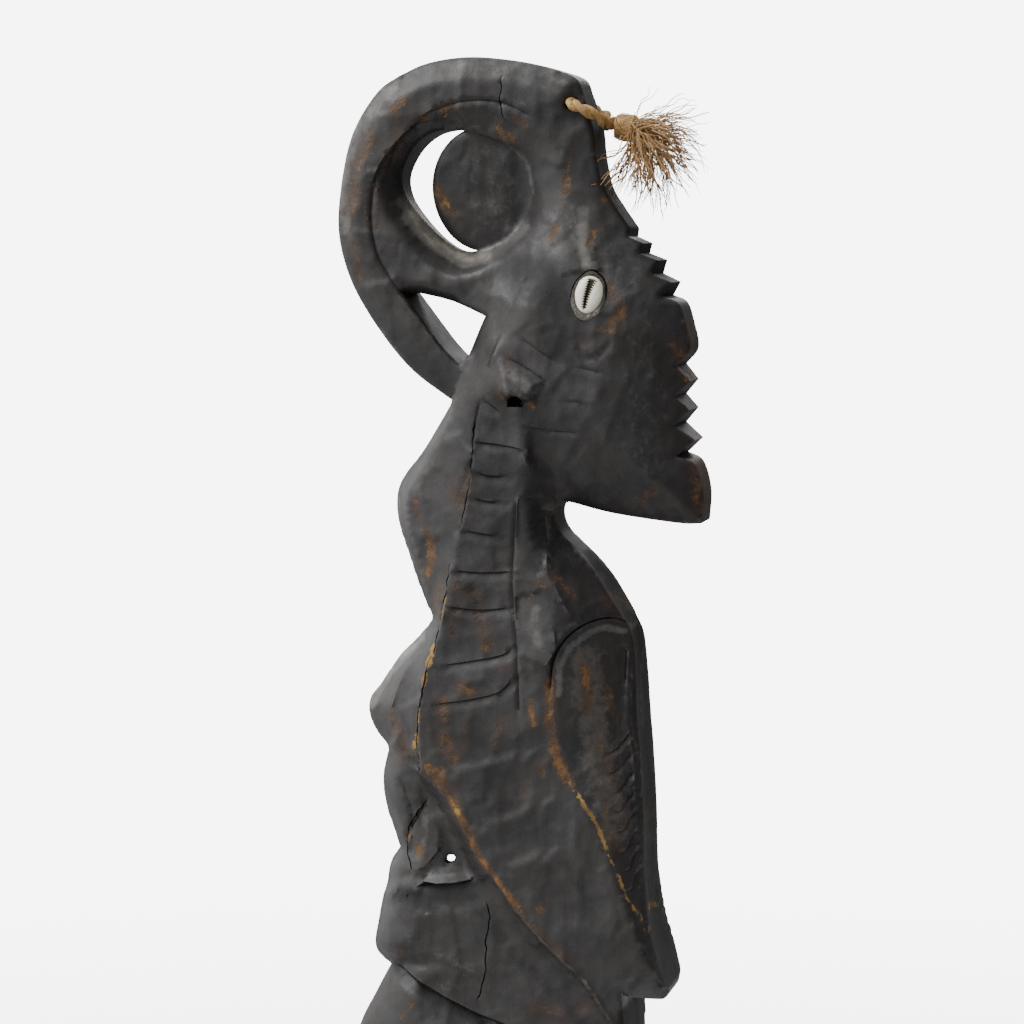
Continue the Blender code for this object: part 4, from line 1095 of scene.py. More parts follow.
def placed(tree, grouped, vector, **numbers):
    """A node group placed in a material."""
    node = tree.nodes.new("ShaderNodeGroup")
    node.node_tree = grouped
    tree.links.new(vector, node.inputs["Vector"])
    for label, value in numbers.items():
        if isinstance(value, bpy.types.NodeSocket):
            tree.links.new(value, node.inputs[label.replace("_", " ")])
        else:
            node.inputs[label.replace("_", " ")].default_value = value
    return node.outputs


# %% The blotches group
blotches, given, wanted = group("blotches", {"Scale": 60.0, "Amount": 0.5, "Softness": 0.1}, ["Mask"])
coarse = noise(blotches, given["Vector"], given["Scale"], 6.0, 0.62)
high = arithmetic(blotches, "SUBTRACT", 1.0, given["Amount"])
low = arithmetic(blotches, "SUBTRACT", high, given["Softness"])
blotches.links.new(between(blotches, coarse, low, high), wanted["Mask"])
print("the blotches group has", len(blotches.nodes), "nodes")

# %% The streaks group
streaks, given, wanted = group("streaks", {"Fineness": 900.0, "Stretch": 0.05}, ["Value"])
squeezed = add(streaks, "ShaderNodeCombineXYZ", {0: 1.0, 1: 1.0, 2: given["Stretch"]})
stretched = add(streaks, "ShaderNodeVectorMath", {0: given["Vector"], 1: squeezed.outputs[0]},
                operation="MULTIPLY")
fine = add(streaks, "ShaderNodeTexNoise", {"Vector": stretched.outputs[0], "Scale": given["Fineness"],
                                           "Detail": 4.0, "Roughness": 0.6, "Distortion": 0.4})
streaks.links.new(fine.outputs[0], wanted["Value"])
print("the streaks group has", len(streaks.nodes), "nodes")


# %% A bare material
def finish(name):
    """A new material, its node tree, its shader and the object's own coordinates."""
    material = bpy.data.materials.new(name)
    material.use_nodes = True
    tree = material.node_tree
    shader = tree.nodes["Principled BSDF"]
    coordinates = tree.nodes.new("ShaderNodeTexCoord").outputs["Object"]
    return material, tree, shader, coordinates


def dress(obj, material):
    """The object's surface becomes the material."""
    obj.data.materials.clear()
    obj.data.materials.append(material)


# %% [markdown]
# ## The wood's finish
# The wood was smoked and handled until its skin turned near black, with a dull grey shine like
# old leather. Under it the wood is orange-brown, and raw wood is yellow. The shader lays these
# skins over each other: black-brown with grey haze, then rubbed brown on edges, then the drawn
# patches with ragged borders, among them painted highlights and painted shade, then flecks of
# dust, and darkness in the cuts that is partly grime and partly painted shade. Roughness follows,
# because rubbed wood is dull.

# %% Colours of the wood, from its smoked skin to raw wood
SMOKED, HAZED = (0.0120, 0.0119, 0.0127, 1), (0.0330, 0.0326, 0.0342, 1)
BROWNED, PORE = (0.036, 0.0265, 0.0195, 1), (0.0070, 0.0062, 0.0060, 1)
# The rubbed brown is worn wood; the grey beside it and the light grey-yellow below are painted highlight
# colours for scuffed places.
RUBBED, SCUFF_HIGHLIGHT_GREY = (0.062, 0.052, 0.044, 1), (0.105, 0.100, 0.092, 1)
BRIGHT_HIGHLIGHT, STAINED = (0.230, 0.215, 0.178, 1), (0.043, 0.0255, 0.0155, 1)
RUST_DARK, RUST_LIGHT = (0.050, 0.027, 0.0125, 1), (0.160, 0.075, 0.020, 1)
RAW_DARK, RAW_LIGHT = (0.100, 0.056, 0.017, 1), (0.290, 0.170, 0.040, 1)
DUST = (0.130, 0.122, 0.100, 1)
# A black for the painted shade of the dark patches, and a black for the cuts that is partly grime and
# partly painted shade.
PAINTED_SHADE_BLACK, GRIME_AND_SHADE = (0.0055, 0.0052, 0.0052, 1), (0.0050, 0.0044, 0.0042, 1)

# %% The wood's noises, from the raggedness of an edge to broad clouds
wood, tree, shader, spot = finish("patinated_wood_worn")
ragged = arithmetic(tree, "SUBTRACT", noise(tree, spot, 170.0, 8.0, 0.68), 0.5)
fine_ragged = arithmetic(tree, "SUBTRACT", noise(tree, spot, 420.0, 5.0, 0.6), 0.5)
frayed = plus(tree, times(tree, ragged, 2.6), fine_ragged, 1.1)
grain = placed(tree, streaks, spot, Fineness=420.0, Stretch=0.06)["Value"]
uneven = between(tree, noise(tree, spot, 95.0, 4.0, 0.6), 0.36, 0.64)
mottled = between(tree, noise(tree, spot, 88.0, 5.0, 0.65), 0.32, 0.68)
broad = between(tree, noise(tree, spot, 26.0, 5.0, 0.6), 0.34, 0.70)
haze = plus(tree, times(tree, broad, 0.6), mottled, 0.4)
print("the wood's noises take", len(tree.nodes), "nodes")

# %% The dark skin, with its haze, brown clouds and pores
skin = blend(tree, haze, SMOKED, HAZED)
brown_skin = placed(tree, blotches, spot, Scale=34.0, Amount=0.47, Softness=0.14)["Mask"]
skin = cover(tree, skin, brown_skin, 0.28, BROWNED)
skin = cover(tree, skin, between(tree, grain, 0.30, 0.62), 0.16, PORE)

# %% Rubbed edges, and scuffed places painted lighter as highlights
edge_worn = between(tree, plus(tree, drawn(tree, "bulge"), ragged, 0.5), 0.10, 0.26)
skin = cover(tree, skin, edge_worn, 0.50, RUBBED)
# Painted highlights: the scuffed places are lightened to grey, and the strongest to a light grey-yellow.
scuff_highlight = plus(tree, drawn(tree, "scuff_highlight"), ragged, 1.3)
scuff_highlight_worn = between(tree, scuff_highlight, 0.42, 0.95)
skin = cover(tree, skin, scuff_highlight_worn, 0.65, SCUFF_HIGHLIGHT_GREY)
skin = blend(tree, times(tree, between(tree, scuff_highlight, 0.85, 1.75), mottled), skin, BRIGHT_HIGHLIGHT)

# %% Wood worn orange-brown, with a dark stain round it
rust = drawn(tree, "rust")
stain = between(tree, arithmetic(tree, "ADD", rust, ragged), 0.10, 1.0)
skin = cover(tree, skin, stain, 0.75, STAINED)
stray = placed(tree, blotches, spot, Scale=120.0, Amount=0.25, Softness=0.03)["Mask"]
rust_worn = between(tree, arithmetic(tree, "ADD", rust, frayed), 0.60, 1.30)
rust_worn = arithmetic(tree, "MAXIMUM", rust_worn, times(tree, stray, 0.5))
rust_tone = blend(tree, uneven, RUST_DARK, RUST_LIGHT)
opacity = add(tree, "ShaderNodeMapRange", {0: uneven, 1: 0.0, 2: 1.0, 3: 0.45, 4: 0.92}).outputs[0]
skin = blend(tree, times(tree, rust_worn, opacity), skin, rust_tone)

# %% Raw wood in the cracks, flecks of dust, painted shade, and grime and painted shade in the cuts
raw_worn = between(tree, arithmetic(tree, "ADD", drawn(tree, "raw"), frayed), 0.62, 0.92)
skin = cover(tree, skin, raw_worn, 0.88, blend(tree, uneven, RAW_DARK, RAW_LIGHT))
flecks = placed(tree, blotches, spot, Scale=330.0, Amount=0.245, Softness=0.01)["Mask"]
skin = cover(tree, skin, flecks, 0.6, DUST)
# Painted shade: the dark patches darken the skin where shadow falls.
painted_shade_mask = between(tree, plus(tree, drawn(tree, "painted_shade"), ragged, 0.8), 0.1, 1.0)
skin = cover(tree, skin, painted_shade_mask, 0.9, PAINTED_SHADE_BLACK)
# The cuts are darkened with their depth: partly grime, partly painted shade in the grooves.
grime_and_shade_mask = between(tree, drawn(tree, "cut"), 0.35, 1.0)
grime_and_shade_mask = times(tree, grime_and_shade_mask, arithmetic(tree, "SUBTRACT", 1.0, raw_worn))
skin = cover(tree, skin, grime_and_shade_mask, 0.8, GRIME_AND_SHADE)
tree.links.new(skin, shader.inputs["Base Color"])

# %% The wood's shine and fine relief
dulled = arithmetic(tree, "MAXIMUM", rust_worn, raw_worn)
rough = scaled(tree, haze, -0.16, 0.49)
rough = plus(tree, rough, painted_shade_mask, 0.28)
rough = plus(tree, rough, dulled, 0.30)
rough = arithmetic(tree, "ADD", rough, times(tree, scuff_highlight_worn, -0.06), clamp=True)
tree.links.new(rough, shader.inputs["Roughness"])
shader.inputs["Specular IOR Level"].default_value = 0.37
chips = add(tree, "ShaderNodeTexVoronoi", {"Vector": spot, "Scale": 105.0, "Randomness": 1.0},
            feature="SMOOTH_F1")
height = times(tree, chips.outputs["Distance"], 0.55)
for layer, share in ((grain, 0.10), (ragged, 0.40), (dulled, -0.35)):
    height = plus(tree, height, layer, share)
tree.links.new(bumped(tree, height, 0.55, 0.0012), shader.inputs["Normal"])
dress(carving, wood)
print("the wood material has", len(tree.nodes), "nodes")

# %% [markdown]
# ## The cowrie eyes
# Each eye is a money cowrie set with its mouth outward: two glossy white lips with fine teeth on
# either side of a dark slit, and a yellow-green line where the shell meets its bed. The shell is
# a domed grid whose height falls into the slit, with the teeth as ridges across its lips.


# %% A frame on the carved surface
def carved_half(spots):
    """The half-width of the wood at places of the side view, without its tool marks."""
    spots = np.array(spots, float)
    return form_halves(spots) - groove_depth(spots)


def face_frame(centre, side, lean):
    """A frame on the carved surface: its Z axis points out of the wood and its Y axis up."""
    reach = 8.0
    probes = [centre, (centre[0] - reach, centre[1]), (centre[0] + reach, centre[1]),
              (centre[0], centre[1] - reach), (centre[0], centre[1] + reach)]
    half = carved_half(probes)
    falls_ahead, falls_upward = -(half[2] - half[1]) / (2 * reach), -(half[4] - half[3]) / (2 * reach)
    out = Vector((falls_ahead, side, falls_upward)).normalized()
    up = Vector((math.sin(lean), 0, math.cos(lean)))
    up = (up - up.dot(out) * out).normalized()
    matrix = Matrix((up.cross(out), up, out)).transposed().to_4x4()
    matrix.translation = Vector((centre[0] * UNIT, side * half[0] * UNIT,
                                 centre[1] * UNIT + BASE_HEIGHT))
    return matrix


# %% The shell's surface
SHELL_LENGTH, SHELL_WIDTH, SHELL_RISE = 0.0240, 0.0170, 0.0060
SHELL_SEAT, SHELL_LIFT, SHELL_UNDERSIDE = -0.0045, 0.0024, -0.0022
SLIT_REACH, SLIT_DEPTH, SLIT_BLUR = 0.82, 0.0026, 0.00011
TOOTH_PITCH, TOOTH_LENGTH = 0.00155, 0.00115
RIDGE_RISE, RIDGE_REACH = 0.00016, 0.0009
FOLD_DEPTH, FOLD_BREADTH = 0.0009, 0.0030


def shell_grid(side):
    """Corners and faces of a cowrie with its toothed mouth outward."""
    along_steps, across_steps = 180, 96
    verts, faces = [], []
    for i in range(along_steps + 1):
        t = math.sin(math.pi * (i / along_steps - 0.5))
        girth = math.sqrt(max(0.0, 1 - t * t)) * (1 + 0.10 * t)
        for j in range(across_steps + 1):
            s = math.sin(math.pi * (j / across_steps - 0.5))
            x, y = s * girth * SHELL_WIDTH / 2, t * SHELL_LENGTH / 2
            dome = (max(0.0, 1 - s * s) ** 0.42) * (max(0.0, 1 - t * t) ** 0.38)
            bend = x - side * (0.0010 - 0.0006 * t * t) - 0.0006 * t
            mouth = 0.00030 + 0.00080 * max(0.0, t + 0.10) ** 1.3
            open_here = max(0.0, 1 - (abs(t) / SLIT_REACH) ** 8)
            tooth = (0.5 + 0.5 * math.cos(math.tau * (y + 0.30 * abs(bend)) / TOOTH_PITCH)) ** 1.4
            gape = 1 + 1.3 * (bend > 0) * max(0.0, t + 0.2)
            lip = abs(bend) - (mouth + TOOTH_LENGTH * tooth) * gape
            slit = 1 / (1 + math.exp(min(60.0, lip / SLIT_BLUR)))
            ridge = RIDGE_RISE * tooth * math.exp(-abs(lip) / RIDGE_REACH)
            fold = FOLD_DEPTH * math.exp(-(bend / FOLD_BREADTH) ** 2)
            z = SHELL_RISE * dome - open_here * (SLIT_DEPTH * slit * dome + fold * dome)
            verts.append((x, y, z - ridge * open_here * (1 - slit)))
    row = across_steps + 1
    top = len(verts)
    verts += [(x, y, SHELL_UNDERSIDE - 0.2 * z) for x, y, z in verts]
    for i in range(along_steps):
        for j in range(across_steps):
            a = i * row + j
            faces.append((a, a + 1, a + row + 1, a + row))
            faces.append((a + top + row, a + top + row + 1, a + top + 1, a + top))
    border = [j for j in range(row)] + [i * row + across_steps for i in range(1, along_steps + 1)]
    border += [along_steps * row + j for j in range(across_steps - 1, -1, -1)]
    border += [i * row for i in range(along_steps - 1, 0, -1)]
    for a, b in zip(border, border[1:] + border[:1]):
        faces.append((b, a, a + top, b + top))
    return verts, faces


# %% The shell's enamel
ENAMEL, ENAMEL_STAIN = (0.88, 0.86, 0.76, 1), (0.62, 0.58, 0.42, 1)
RIM_GREEN = (0.16, 0.15, 0.035, 1)
SLIT_SHADE_BROWN, SLIT_SHADE_DARK = (0.160, 0.140, 0.085, 1), (0.022, 0.020, 0.012, 1)
shell, tree, shader, spot = finish("cowrie_enamel")
deep = drawn(tree, "deep")
mottle = placed(tree, blotches, spot, Scale=210.0, Amount=0.48, Softness=0.25)["Mask"]
enamel = cover(tree, ENAMEL, mottle, 0.5, ENAMEL_STAIN)
enamel = blend(tree, between(tree, drawn(tree, "rimmed"), 0.45, 0.95), enamel, RIM_GREEN)
# Painted shade: the slit turns brown and then near black with its depth below the dome.
enamel = blend(tree, between(tree, deep, 0.12, 0.45), enamel, SLIT_SHADE_BROWN)
enamel = blend(tree, between(tree, deep, 0.40, 0.85), enamel, SLIT_SHADE_DARK)
tree.links.new(enamel, shader.inputs["Base Color"])
shell_rough = scaled(tree, between(tree, deep, 0.2, 0.8), 0.5, 0.20)
tree.links.new(shell_rough, shader.inputs["Roughness"])
print("the enamel has", len(tree.nodes), "nodes")

# %% The putty round the shell
PUTTY_DARK, PUTTY_LIGHT = (0.085, 0.074, 0.058, 1), (0.260, 0.240, 0.205, 1)
PUTTY_SMOKED, PUTTY_DIRT = (0.022, 0.018, 0.014, 1), (0.026, 0.020, 0.014, 1)
putty, tree, shader, spot = finish("grey_putty_dull")
lumps = placed(tree, blotches, spot, Scale=420.0, Amount=0.5, Softness=0.3)["Mask"]
dirt = placed(tree, blotches, spot, Scale=110.0, Amount=0.52, Softness=0.12)["Mask"]
height_here = add(tree, "ShaderNodeSeparateXYZ", {0: spot}).outputs["Z"]
paste = blend(tree, lumps, PUTTY_DARK, PUTTY_LIGHT)
paste = cover(tree, paste, between(tree, height_here, 0.566, 0.586), 0.85, PUTTY_SMOKED)
paste = cover(tree, paste, dirt, 0.6, PUTTY_DIRT)
tree.links.new(paste, shader.inputs["Base Color"])
shader.inputs["Roughness"].default_value = 0.85
tree.links.new(bumped(tree, lumps, 0.7, 0.0005), shader.inputs["Normal"])
print("the putty has", len(tree.nodes), "nodes")


# %% A ring of putty
PUTTY_OVERLAP, PUTTY_WIDTH = 0.0006, 0.0024
PUTTY_RISE, PUTTY_DEPTH = 0.0007, 0.0035


def putty_ring(seed):
    """An uneven ring of putty, pressed in round the shell and smeared over the socket's lip."""
    chance = np.random.default_rng(seed)
    sides, turns = 120, 14
    phases = chance.uniform(0, math.tau, 8)
    verts, faces = [], []
    for i in range(sides):
        angle = math.tau * i / sides
        uneven = sum(math.cos(wave * angle + phases[wave]) / wave for wave in range(2, 8))
        inner_x, inner_y = SHELL_WIDTH / 2 - PUTTY_OVERLAP, SHELL_LENGTH / 2 - PUTTY_OVERLAP
        width = PUTTY_WIDTH + 0.00060 * uneven + 0.0012 * max(0.0, -math.sin(angle)) ** 2
        top = PUTTY_RISE + 0.00030 * math.cos(5 * angle + phases[0]) + 0.0003 * uneven
        for j in range(turns):
            turn = math.tau * j / turns
            out = width / 2 * (1 - math.cos(turn))
            up = math.sin(turn) * (top if math.sin(turn) > 0 else PUTTY_DEPTH)
            rough_up = 0.00040 * chance.uniform(-1, 1) * (math.sin(turn) > 0)
            verts.append(((inner_x + out) * math.cos(angle), (inner_y + out) * math.sin(angle),
                          up + rough_up - 0.0009 * out / width))
    for i in range(sides):
        for j in range(turns):
            a, b = i * turns + j, i * turns + (j + 1) % turns
            c, d = ((i + 1) % sides) * turns + j, ((i + 1) % sides) * turns + (j + 1) % turns
            faces.append((a, c, d, b))
    return verts, faces


# %% Two eyes, each a shell in its bed
for side, name in ((-1, "near"), (1, "far")):
    setting = face_frame(EYE_CENTRE, side, EYE_LEAN)
    seat = setting @ Matrix.Translation((0, 0, SHELL_SEAT + SHELL_LIFT))
    grid_verts, grid_faces = shell_grid(side)
    eye = solid("cowrie_" + name, [seat @ Vector(v) for v in grid_verts], grid_faces, 60)
    heights = np.array([v[2] for v in grid_verts])
    x = np.array([v[0] for v in grid_verts]) / (SHELL_WIDTH / 2)
    y = np.array([v[1] for v in grid_verts]) / (SHELL_LENGTH / 2)
    outline = np.sqrt(x ** 2 + y ** 2)
    expected = SHELL_RISE * np.clip(1 - x ** 2 - y ** 2, 0, 1) ** 0.42
    mark(eye.data, "deep", np.clip((expected - heights) / 0.0022, 0, 1) * (outline < 0.86))
    mark(eye.data, "rimmed", np.clip((outline - 0.78) / 0.2, 0, 1) * np.clip(0.45 - 1.2 * y, 0.2, 1))
    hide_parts("cowrie_eye_" + name)
    dress(eye, shell)
    ring_verts, ring_faces = putty_ring(5 if side < 0 else 6)
    bed = solid("putty_" + name, [setting @ Vector(v) for v in ring_verts], ring_faces, 60)
    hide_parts("eye_putty_" + name)
    dress(bed, putty)
print("eyes at", [round(v, 3) for v in setting.translation])

# %% [markdown]
# ## The tassel
# A two-ply cord of plant fibre goes through the hole in the crest and round its front edge.
# A whipping of thinner string gathers the end, and beyond it the fibres splay into a loose brush
# that droops. Real strands are used here rather than a bumped surface, because the brush is seen
# against the light and its gaps are what make it look like fibre.


# %% Tubes along paths
def tube(path, radii, sides, closed=False):
    """Corners and faces of a tube along a path of points, with a radius for each point."""
    path = np.array(path, float)
    count = len(path)
    if closed:
        run = np.roll(path, -1, axis=0) - np.roll(path, 1, axis=0)
    else:
        run = np.gradient(path, axis=0)
    run /= np.maximum(np.linalg.norm(run, axis=1), 1e-12)[:, None]
    normal = np.cross(run[0], (0.3, 0.9, 0.3))
    normal /= np.linalg.norm(normal)
    verts, faces = [], []
    for i in range(count):
        normal = normal - (normal @ run[i]) * run[i]
        normal /= max(np.linalg.norm(normal), 1e-12)
        other = np.cross(run[i], normal)
        for side in range(sides):
            angle = math.tau * side / sides
            verts.append(path[i] + radii[i] * (math.cos(angle) * normal + math.sin(angle) * other))
    rings = count if closed else count - 1
    for i in range(rings):
        for side in range(sides):
            a, b = i * sides + side, i * sides + (side + 1) % sides
            c, d = ((i + 1) % count) * sides + side, ((i + 1) % count) * sides + (side + 1) % sides
            faces.append((a, b, d, c))
    if not closed:
        faces.append(tuple(range(sides))[::-1])
        faces.append(tuple(range((count - 1) * sides, count * sides)))
    return verts, faces


def bundle(name, tubes):
    """One object of many tubes."""
    verts, faces = [], []
    for tube_verts, tube_faces in tubes:
        start = len(verts)
        verts += [tuple(v) for v in tube_verts]
        faces += [tuple(corner + start for corner in face) for face in tube_faces]
    return solid(name, verts, faces, 60)


def smooth_loop(points, count):
    """Points along a smooth closed curve through the given ones."""
    points = [Vector(point) for point in points]
    total = len(points)
    found = []
    for step in range(count):
        index, share = divmod(step * total / count, 1)
        before, start, end, after = (points[(int(index) + offset) % total] for offset in (-1, 0, 1, 2))
        bend = 2 * before - 5 * start + 4 * end - after
        twist = 3 * (start - end) + after - before
        found.append(start + 0.5 * share * (end - before + share * (bend + share * twist)))
    return found


# %% The cord's route, as in the frame
CORD_DIAMETER = 0.0068
CORD_CLEARANCE = 0.0007
FIT_GAP = 0.0003
BINDING_LENGTH = 0.0120
BINDING_DIAMETER = 0.0160
reach = CORD_DIAMETER / 2 + CORD_CLEARANCE
hole_x, hole_z = CORD_HOLE[0] * UNIT, CORD_HOLE[1] * UNIT + BASE_HEIGHT
cheek = carved_half([CORD_HOLE])[0] * UNIT
front_x = np.interp(CORD_HOLE[1] - 12, crest_front[::-1, 1], crest_front[::-1, 0]) * UNIT
outer_x = front_x + reach + 2 * UNIT
near_path = [
    (hole_x, -0.5 * cheek, hole_z),
    (hole_x, -cheek, hole_z),
    (hole_x + 0.4 * reach, -cheek - 0.8 * reach, hole_z - 0.5 * UNIT),
    (hole_x + 1.1 * reach, -cheek - reach, hole_z - 2 * UNIT),
    (hole_x + 2.2 * reach, -cheek - 0.8 * reach, hole_z - 4 * UNIT),
    (front_x + 0.6 * reach, -cheek + 1.5 * UNIT, hole_z - 7 * UNIT),
    (outer_x - 0.2 * reach, -0.65 * cheek, hole_z - 9.5 * UNIT),
    (outer_x, -0.3 * cheek, hole_z - 11.5 * UNIT),
]
far_path = [(x, -y, z) for x, y, z in reversed(near_path)]
route = smooth_loop(near_path + [(outer_x, 0, hole_z - 12 * UNIT)] + far_path, 360)
route_length = sum((b - a).length for a, b in zip(route, route[1:] + route[:1]))
print("the cord's loop is", round(route_length * 1000), "mm long")

# %% Two plies of fine yarn, laid round each other
TWISTS = 5
YARNS = 9
PLY_RADIUS = 0.0020
PLY_OFFSET = 0.0017


def laid_round(path, offset, turns, phase, radii, sides):
    """A closed tube that winds round a closed path."""
    path = np.array([tuple(p) for p in path])
    run = np.roll(path, -1, axis=0) - np.roll(path, 1, axis=0)
    run /= np.linalg.norm(run, axis=1)[:, None]
    steady = np.cross(run, (0.0, 0.0, 1.0))
    steady /= np.maximum(np.linalg.norm(steady, axis=1), 1e-9)[:, None]
    other = np.cross(run, steady)
    angles = phase + math.tau * turns * np.arange(len(path)) / len(path)
    wound = path + offset * (np.cos(angles)[:, None] * steady + np.sin(angles)[:, None] * other)
    return tube(wound, [radii] * len(path), sides, closed=True), wound


plies = []
for phase in (0.0, math.pi):
    core, wound = laid_round(route, PLY_OFFSET, TWISTS, phase, PLY_RADIUS * 0.86, 8)
    plies.append(core)
    for yarn in range(YARNS):
        yarn_tube, _ = laid_round(wound, PLY_RADIUS * 0.80, 2 * TWISTS, math.tau * yarn / YARNS,
                                  PLY_RADIUS * 0.21, 5)
        plies.append(yarn_tube)
cord = bundle("twisted_cord", plies)
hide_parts("tassel_cord")
print("the cord has", len(plies), "tubes")


# %% The whipping's place
def drooping_frame(droop):
    """A frame whose Z axis points forward and down by the droop, and that axis."""
    axis = Vector((math.cos(droop), 0, -math.sin(droop)))
    up = Vector((math.sin(droop), 0, math.cos(droop)))
    return Matrix((Vector((0, -1, 0)), up, axis)).transposed().to_4x4(), axis


whipping_frame, whipping_axis = drooping_frame(math.radians(12))
whipping_frame.translation = Vector((outer_x + CORD_DIAMETER / 2 + FIT_GAP + 0.0006, 0,
                                     hole_z - 12 * UNIT))

# %% The whipping: a string wound round a core, with stray hairs
chance = np.random.default_rng(21)
turns, steps = 9, 24
string_radius, hair_radius, hair_count = 0.00085, 0.00022, 60
winding = []
for i in range(turns * steps + 1):
    share = i / (turns * steps)
    radius = BINDING_DIAMETER / 2 - 0.0012 + 0.0004 * math.sin(9 * share) - 0.0012 * (1 - share) ** 4
    angle = math.tau * i / steps
    winding.append(whipping_frame @ Vector((radius * math.cos(angle), radius * math.sin(angle),
                                            0.0008 + share * (BINDING_LENGTH - 0.0016))))
string = tube([tuple(p) for p in winding], [string_radius] * len(winding), 7)
core = tube([tuple(whipping_frame @ Vector((0, 0, z))) for z in np.linspace(0.0005, BINDING_LENGTH, 8)],
            [0.0045] + [0.0060] * 6 + [0.0055], 16)
hairs = []
for strand in range(hair_count):
    angle = chance.uniform(0, math.tau)
    lean = chance.normal(0, 0.35)
    start = chance.uniform(0.0005, BINDING_LENGTH - 0.004)
    length = chance.uniform(0.004, 0.010)
    spots = []
    for step in range(6):
        share = step / 5
        radius = BINDING_DIAMETER / 2 - 0.0004 + 0.0006 * math.sin(math.pi * share)
        turn = angle + lean * share * 1.4
        spots.append(tuple(whipping_frame @ Vector((radius * math.cos(turn), radius * math.sin(turn),
                                                    min(start + share * length, BINDING_LENGTH)))))
    hairs.append(tube(spots, [hair_radius] * len(spots), 4))
binding = bundle("whipping", [string, core] + hairs)
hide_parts("tassel_binding")
print("the whipping has", turns, "turns and", hair_count, "stray hairs")

# %% The brush of loose fibres
FIBRES = 360
FIBRE_STEPS = 13
FORWARD_LIMIT = 0.1178
CLUMPS = (-86, -68, -52, -38, -24, -10, 6, 22)
LENGTH_ANGLES, LONGEST = (-100, -60, -38, -20, 0, 30), (0.058, 0.062, 0.063, 0.058, 0.053, 0.047)
WHIPPING_LEAN, DROOP = 12, 34
BRUSH_RADIUS = 0.0058
brush_start = whipping_frame.translation + (BINDING_LENGTH - 0.002) * whipping_axis
chance = np.random.default_rng(33)
fibres, tips = [], []
for fibre in range(FIBRES):
    stray = fibre % 26 == 0
    fan = chance.choice(CLUMPS) + chance.normal(0, 9)
    fan = chance.uniform(-130, 100) if stray else np.clip(fan, -100, 28)
    swing = chance.normal(0, 30)
    length = chance.uniform(0.6, 1.0) * np.interp(fan, LENGTH_ANGLES, LONGEST)
    length = min(length, 0.030) if stray and fan > 40 else length
    angle, radius = chance.uniform(0, math.tau), BRUSH_RADIUS * math.sqrt(chance.uniform(0, 1))
    spoke = math.cos(angle) * Vector((0, 1, 0)) + math.sin(angle) * Vector((0.2, 0, 0.98))
    place = brush_start + radius * spoke
    curl = chance.normal(0, 4.5, (FIBRE_STEPS, 2)).cumsum(0)
    bends = chance.uniform(0.5, 1.5, 2) * np.arange(FIBRE_STEPS)[:, None]
    curl += chance.uniform(8, 34, 2) * np.sin(chance.uniform(0, 6, 2) + bends)
    spots = [tuple(place)]
    for step in range(1, FIBRE_STEPS):
        share = step / (FIBRE_STEPS - 1)
        turned = min(1.0, 5.0 * share)
        rise = -WHIPPING_LEAN + turned * (fan + WHIPPING_LEAN) + curl[step, 0] - DROOP * share
        rise, aside = math.radians(rise), math.radians(turned * swing + curl[step, 1])
        onward = Vector((math.cos(rise) * math.cos(aside), math.sin(aside),
                         math.sin(rise) * math.cos(aside)))
        place = place + onward * float(length / (FIBRE_STEPS - 1))
        spots.append((min(place.x, FORWARD_LIMIT), place.y, place.z))
    thick = chance.uniform(0.00020, 0.00036)
    fibres.append(tube(spots, [thick] * (FIBRE_STEPS - 3) + [0.9 * thick, 0.8 * thick, 0.55 * thick], 4))
    tips += np.repeat(np.linspace(0, 1, FIBRE_STEPS), 4).tolist()
brush = bundle("fibre_brush", fibres)
mark(brush.data, "tip", tips)
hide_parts("tassel_fibres")
print("the brush has", FIBRES, "fibres")

# %% The fibre's finish
STRAW_DARK, STRAW_LIGHT = (0.380, 0.225, 0.072, 1), (0.680, 0.470, 0.190, 1)
STRAW_STAIN, STRAW_TIP = (0.220, 0.105, 0.035, 1), (0.210, 0.100, 0.055, 1)
straw, tree, shader, spot = finish("plant_fibre_dry")
strand = placed(tree, streaks, spot, Fineness=1500.0, Stretch=0.4)["Value"]
patchy = placed(tree, blotches, spot, Scale=150.0, Amount=0.5, Softness=0.2)["Mask"]
fibre_colour = blend(tree, between(tree, strand, 0.35, 0.65), STRAW_DARK, STRAW_LIGHT)
fibre_colour = cover(tree, fibre_colour, patchy, 0.5, STRAW_STAIN)
fibre_colour = cover(tree, fibre_colour, drawn(tree, "tip"), 0.6, STRAW_TIP)
tree.links.new(fibre_colour, shader.inputs["Base Color"])
shader.inputs["Roughness"].default_value = 0.62
tree.links.new(bumped(tree, strand, 0.5, 0.0003), shader.inputs["Normal"])
for piece in (cord, binding, brush):
    dress(piece, straw)
print("the fibre material has", len(tree.nodes), "nodes")

# %% [markdown]
# ## Floor, light and camera
# The photograph was taken against white, with a large soft light on the upper left. Dark glossy
# wood shows mostly what it reflects, so the surround is bright on the left and above and dim in
# front, which leaves the facets that face the camera dark and draws the others. What the camera
# sees directly is plain white, and the floor fades into it so that no horizon cuts the picture.

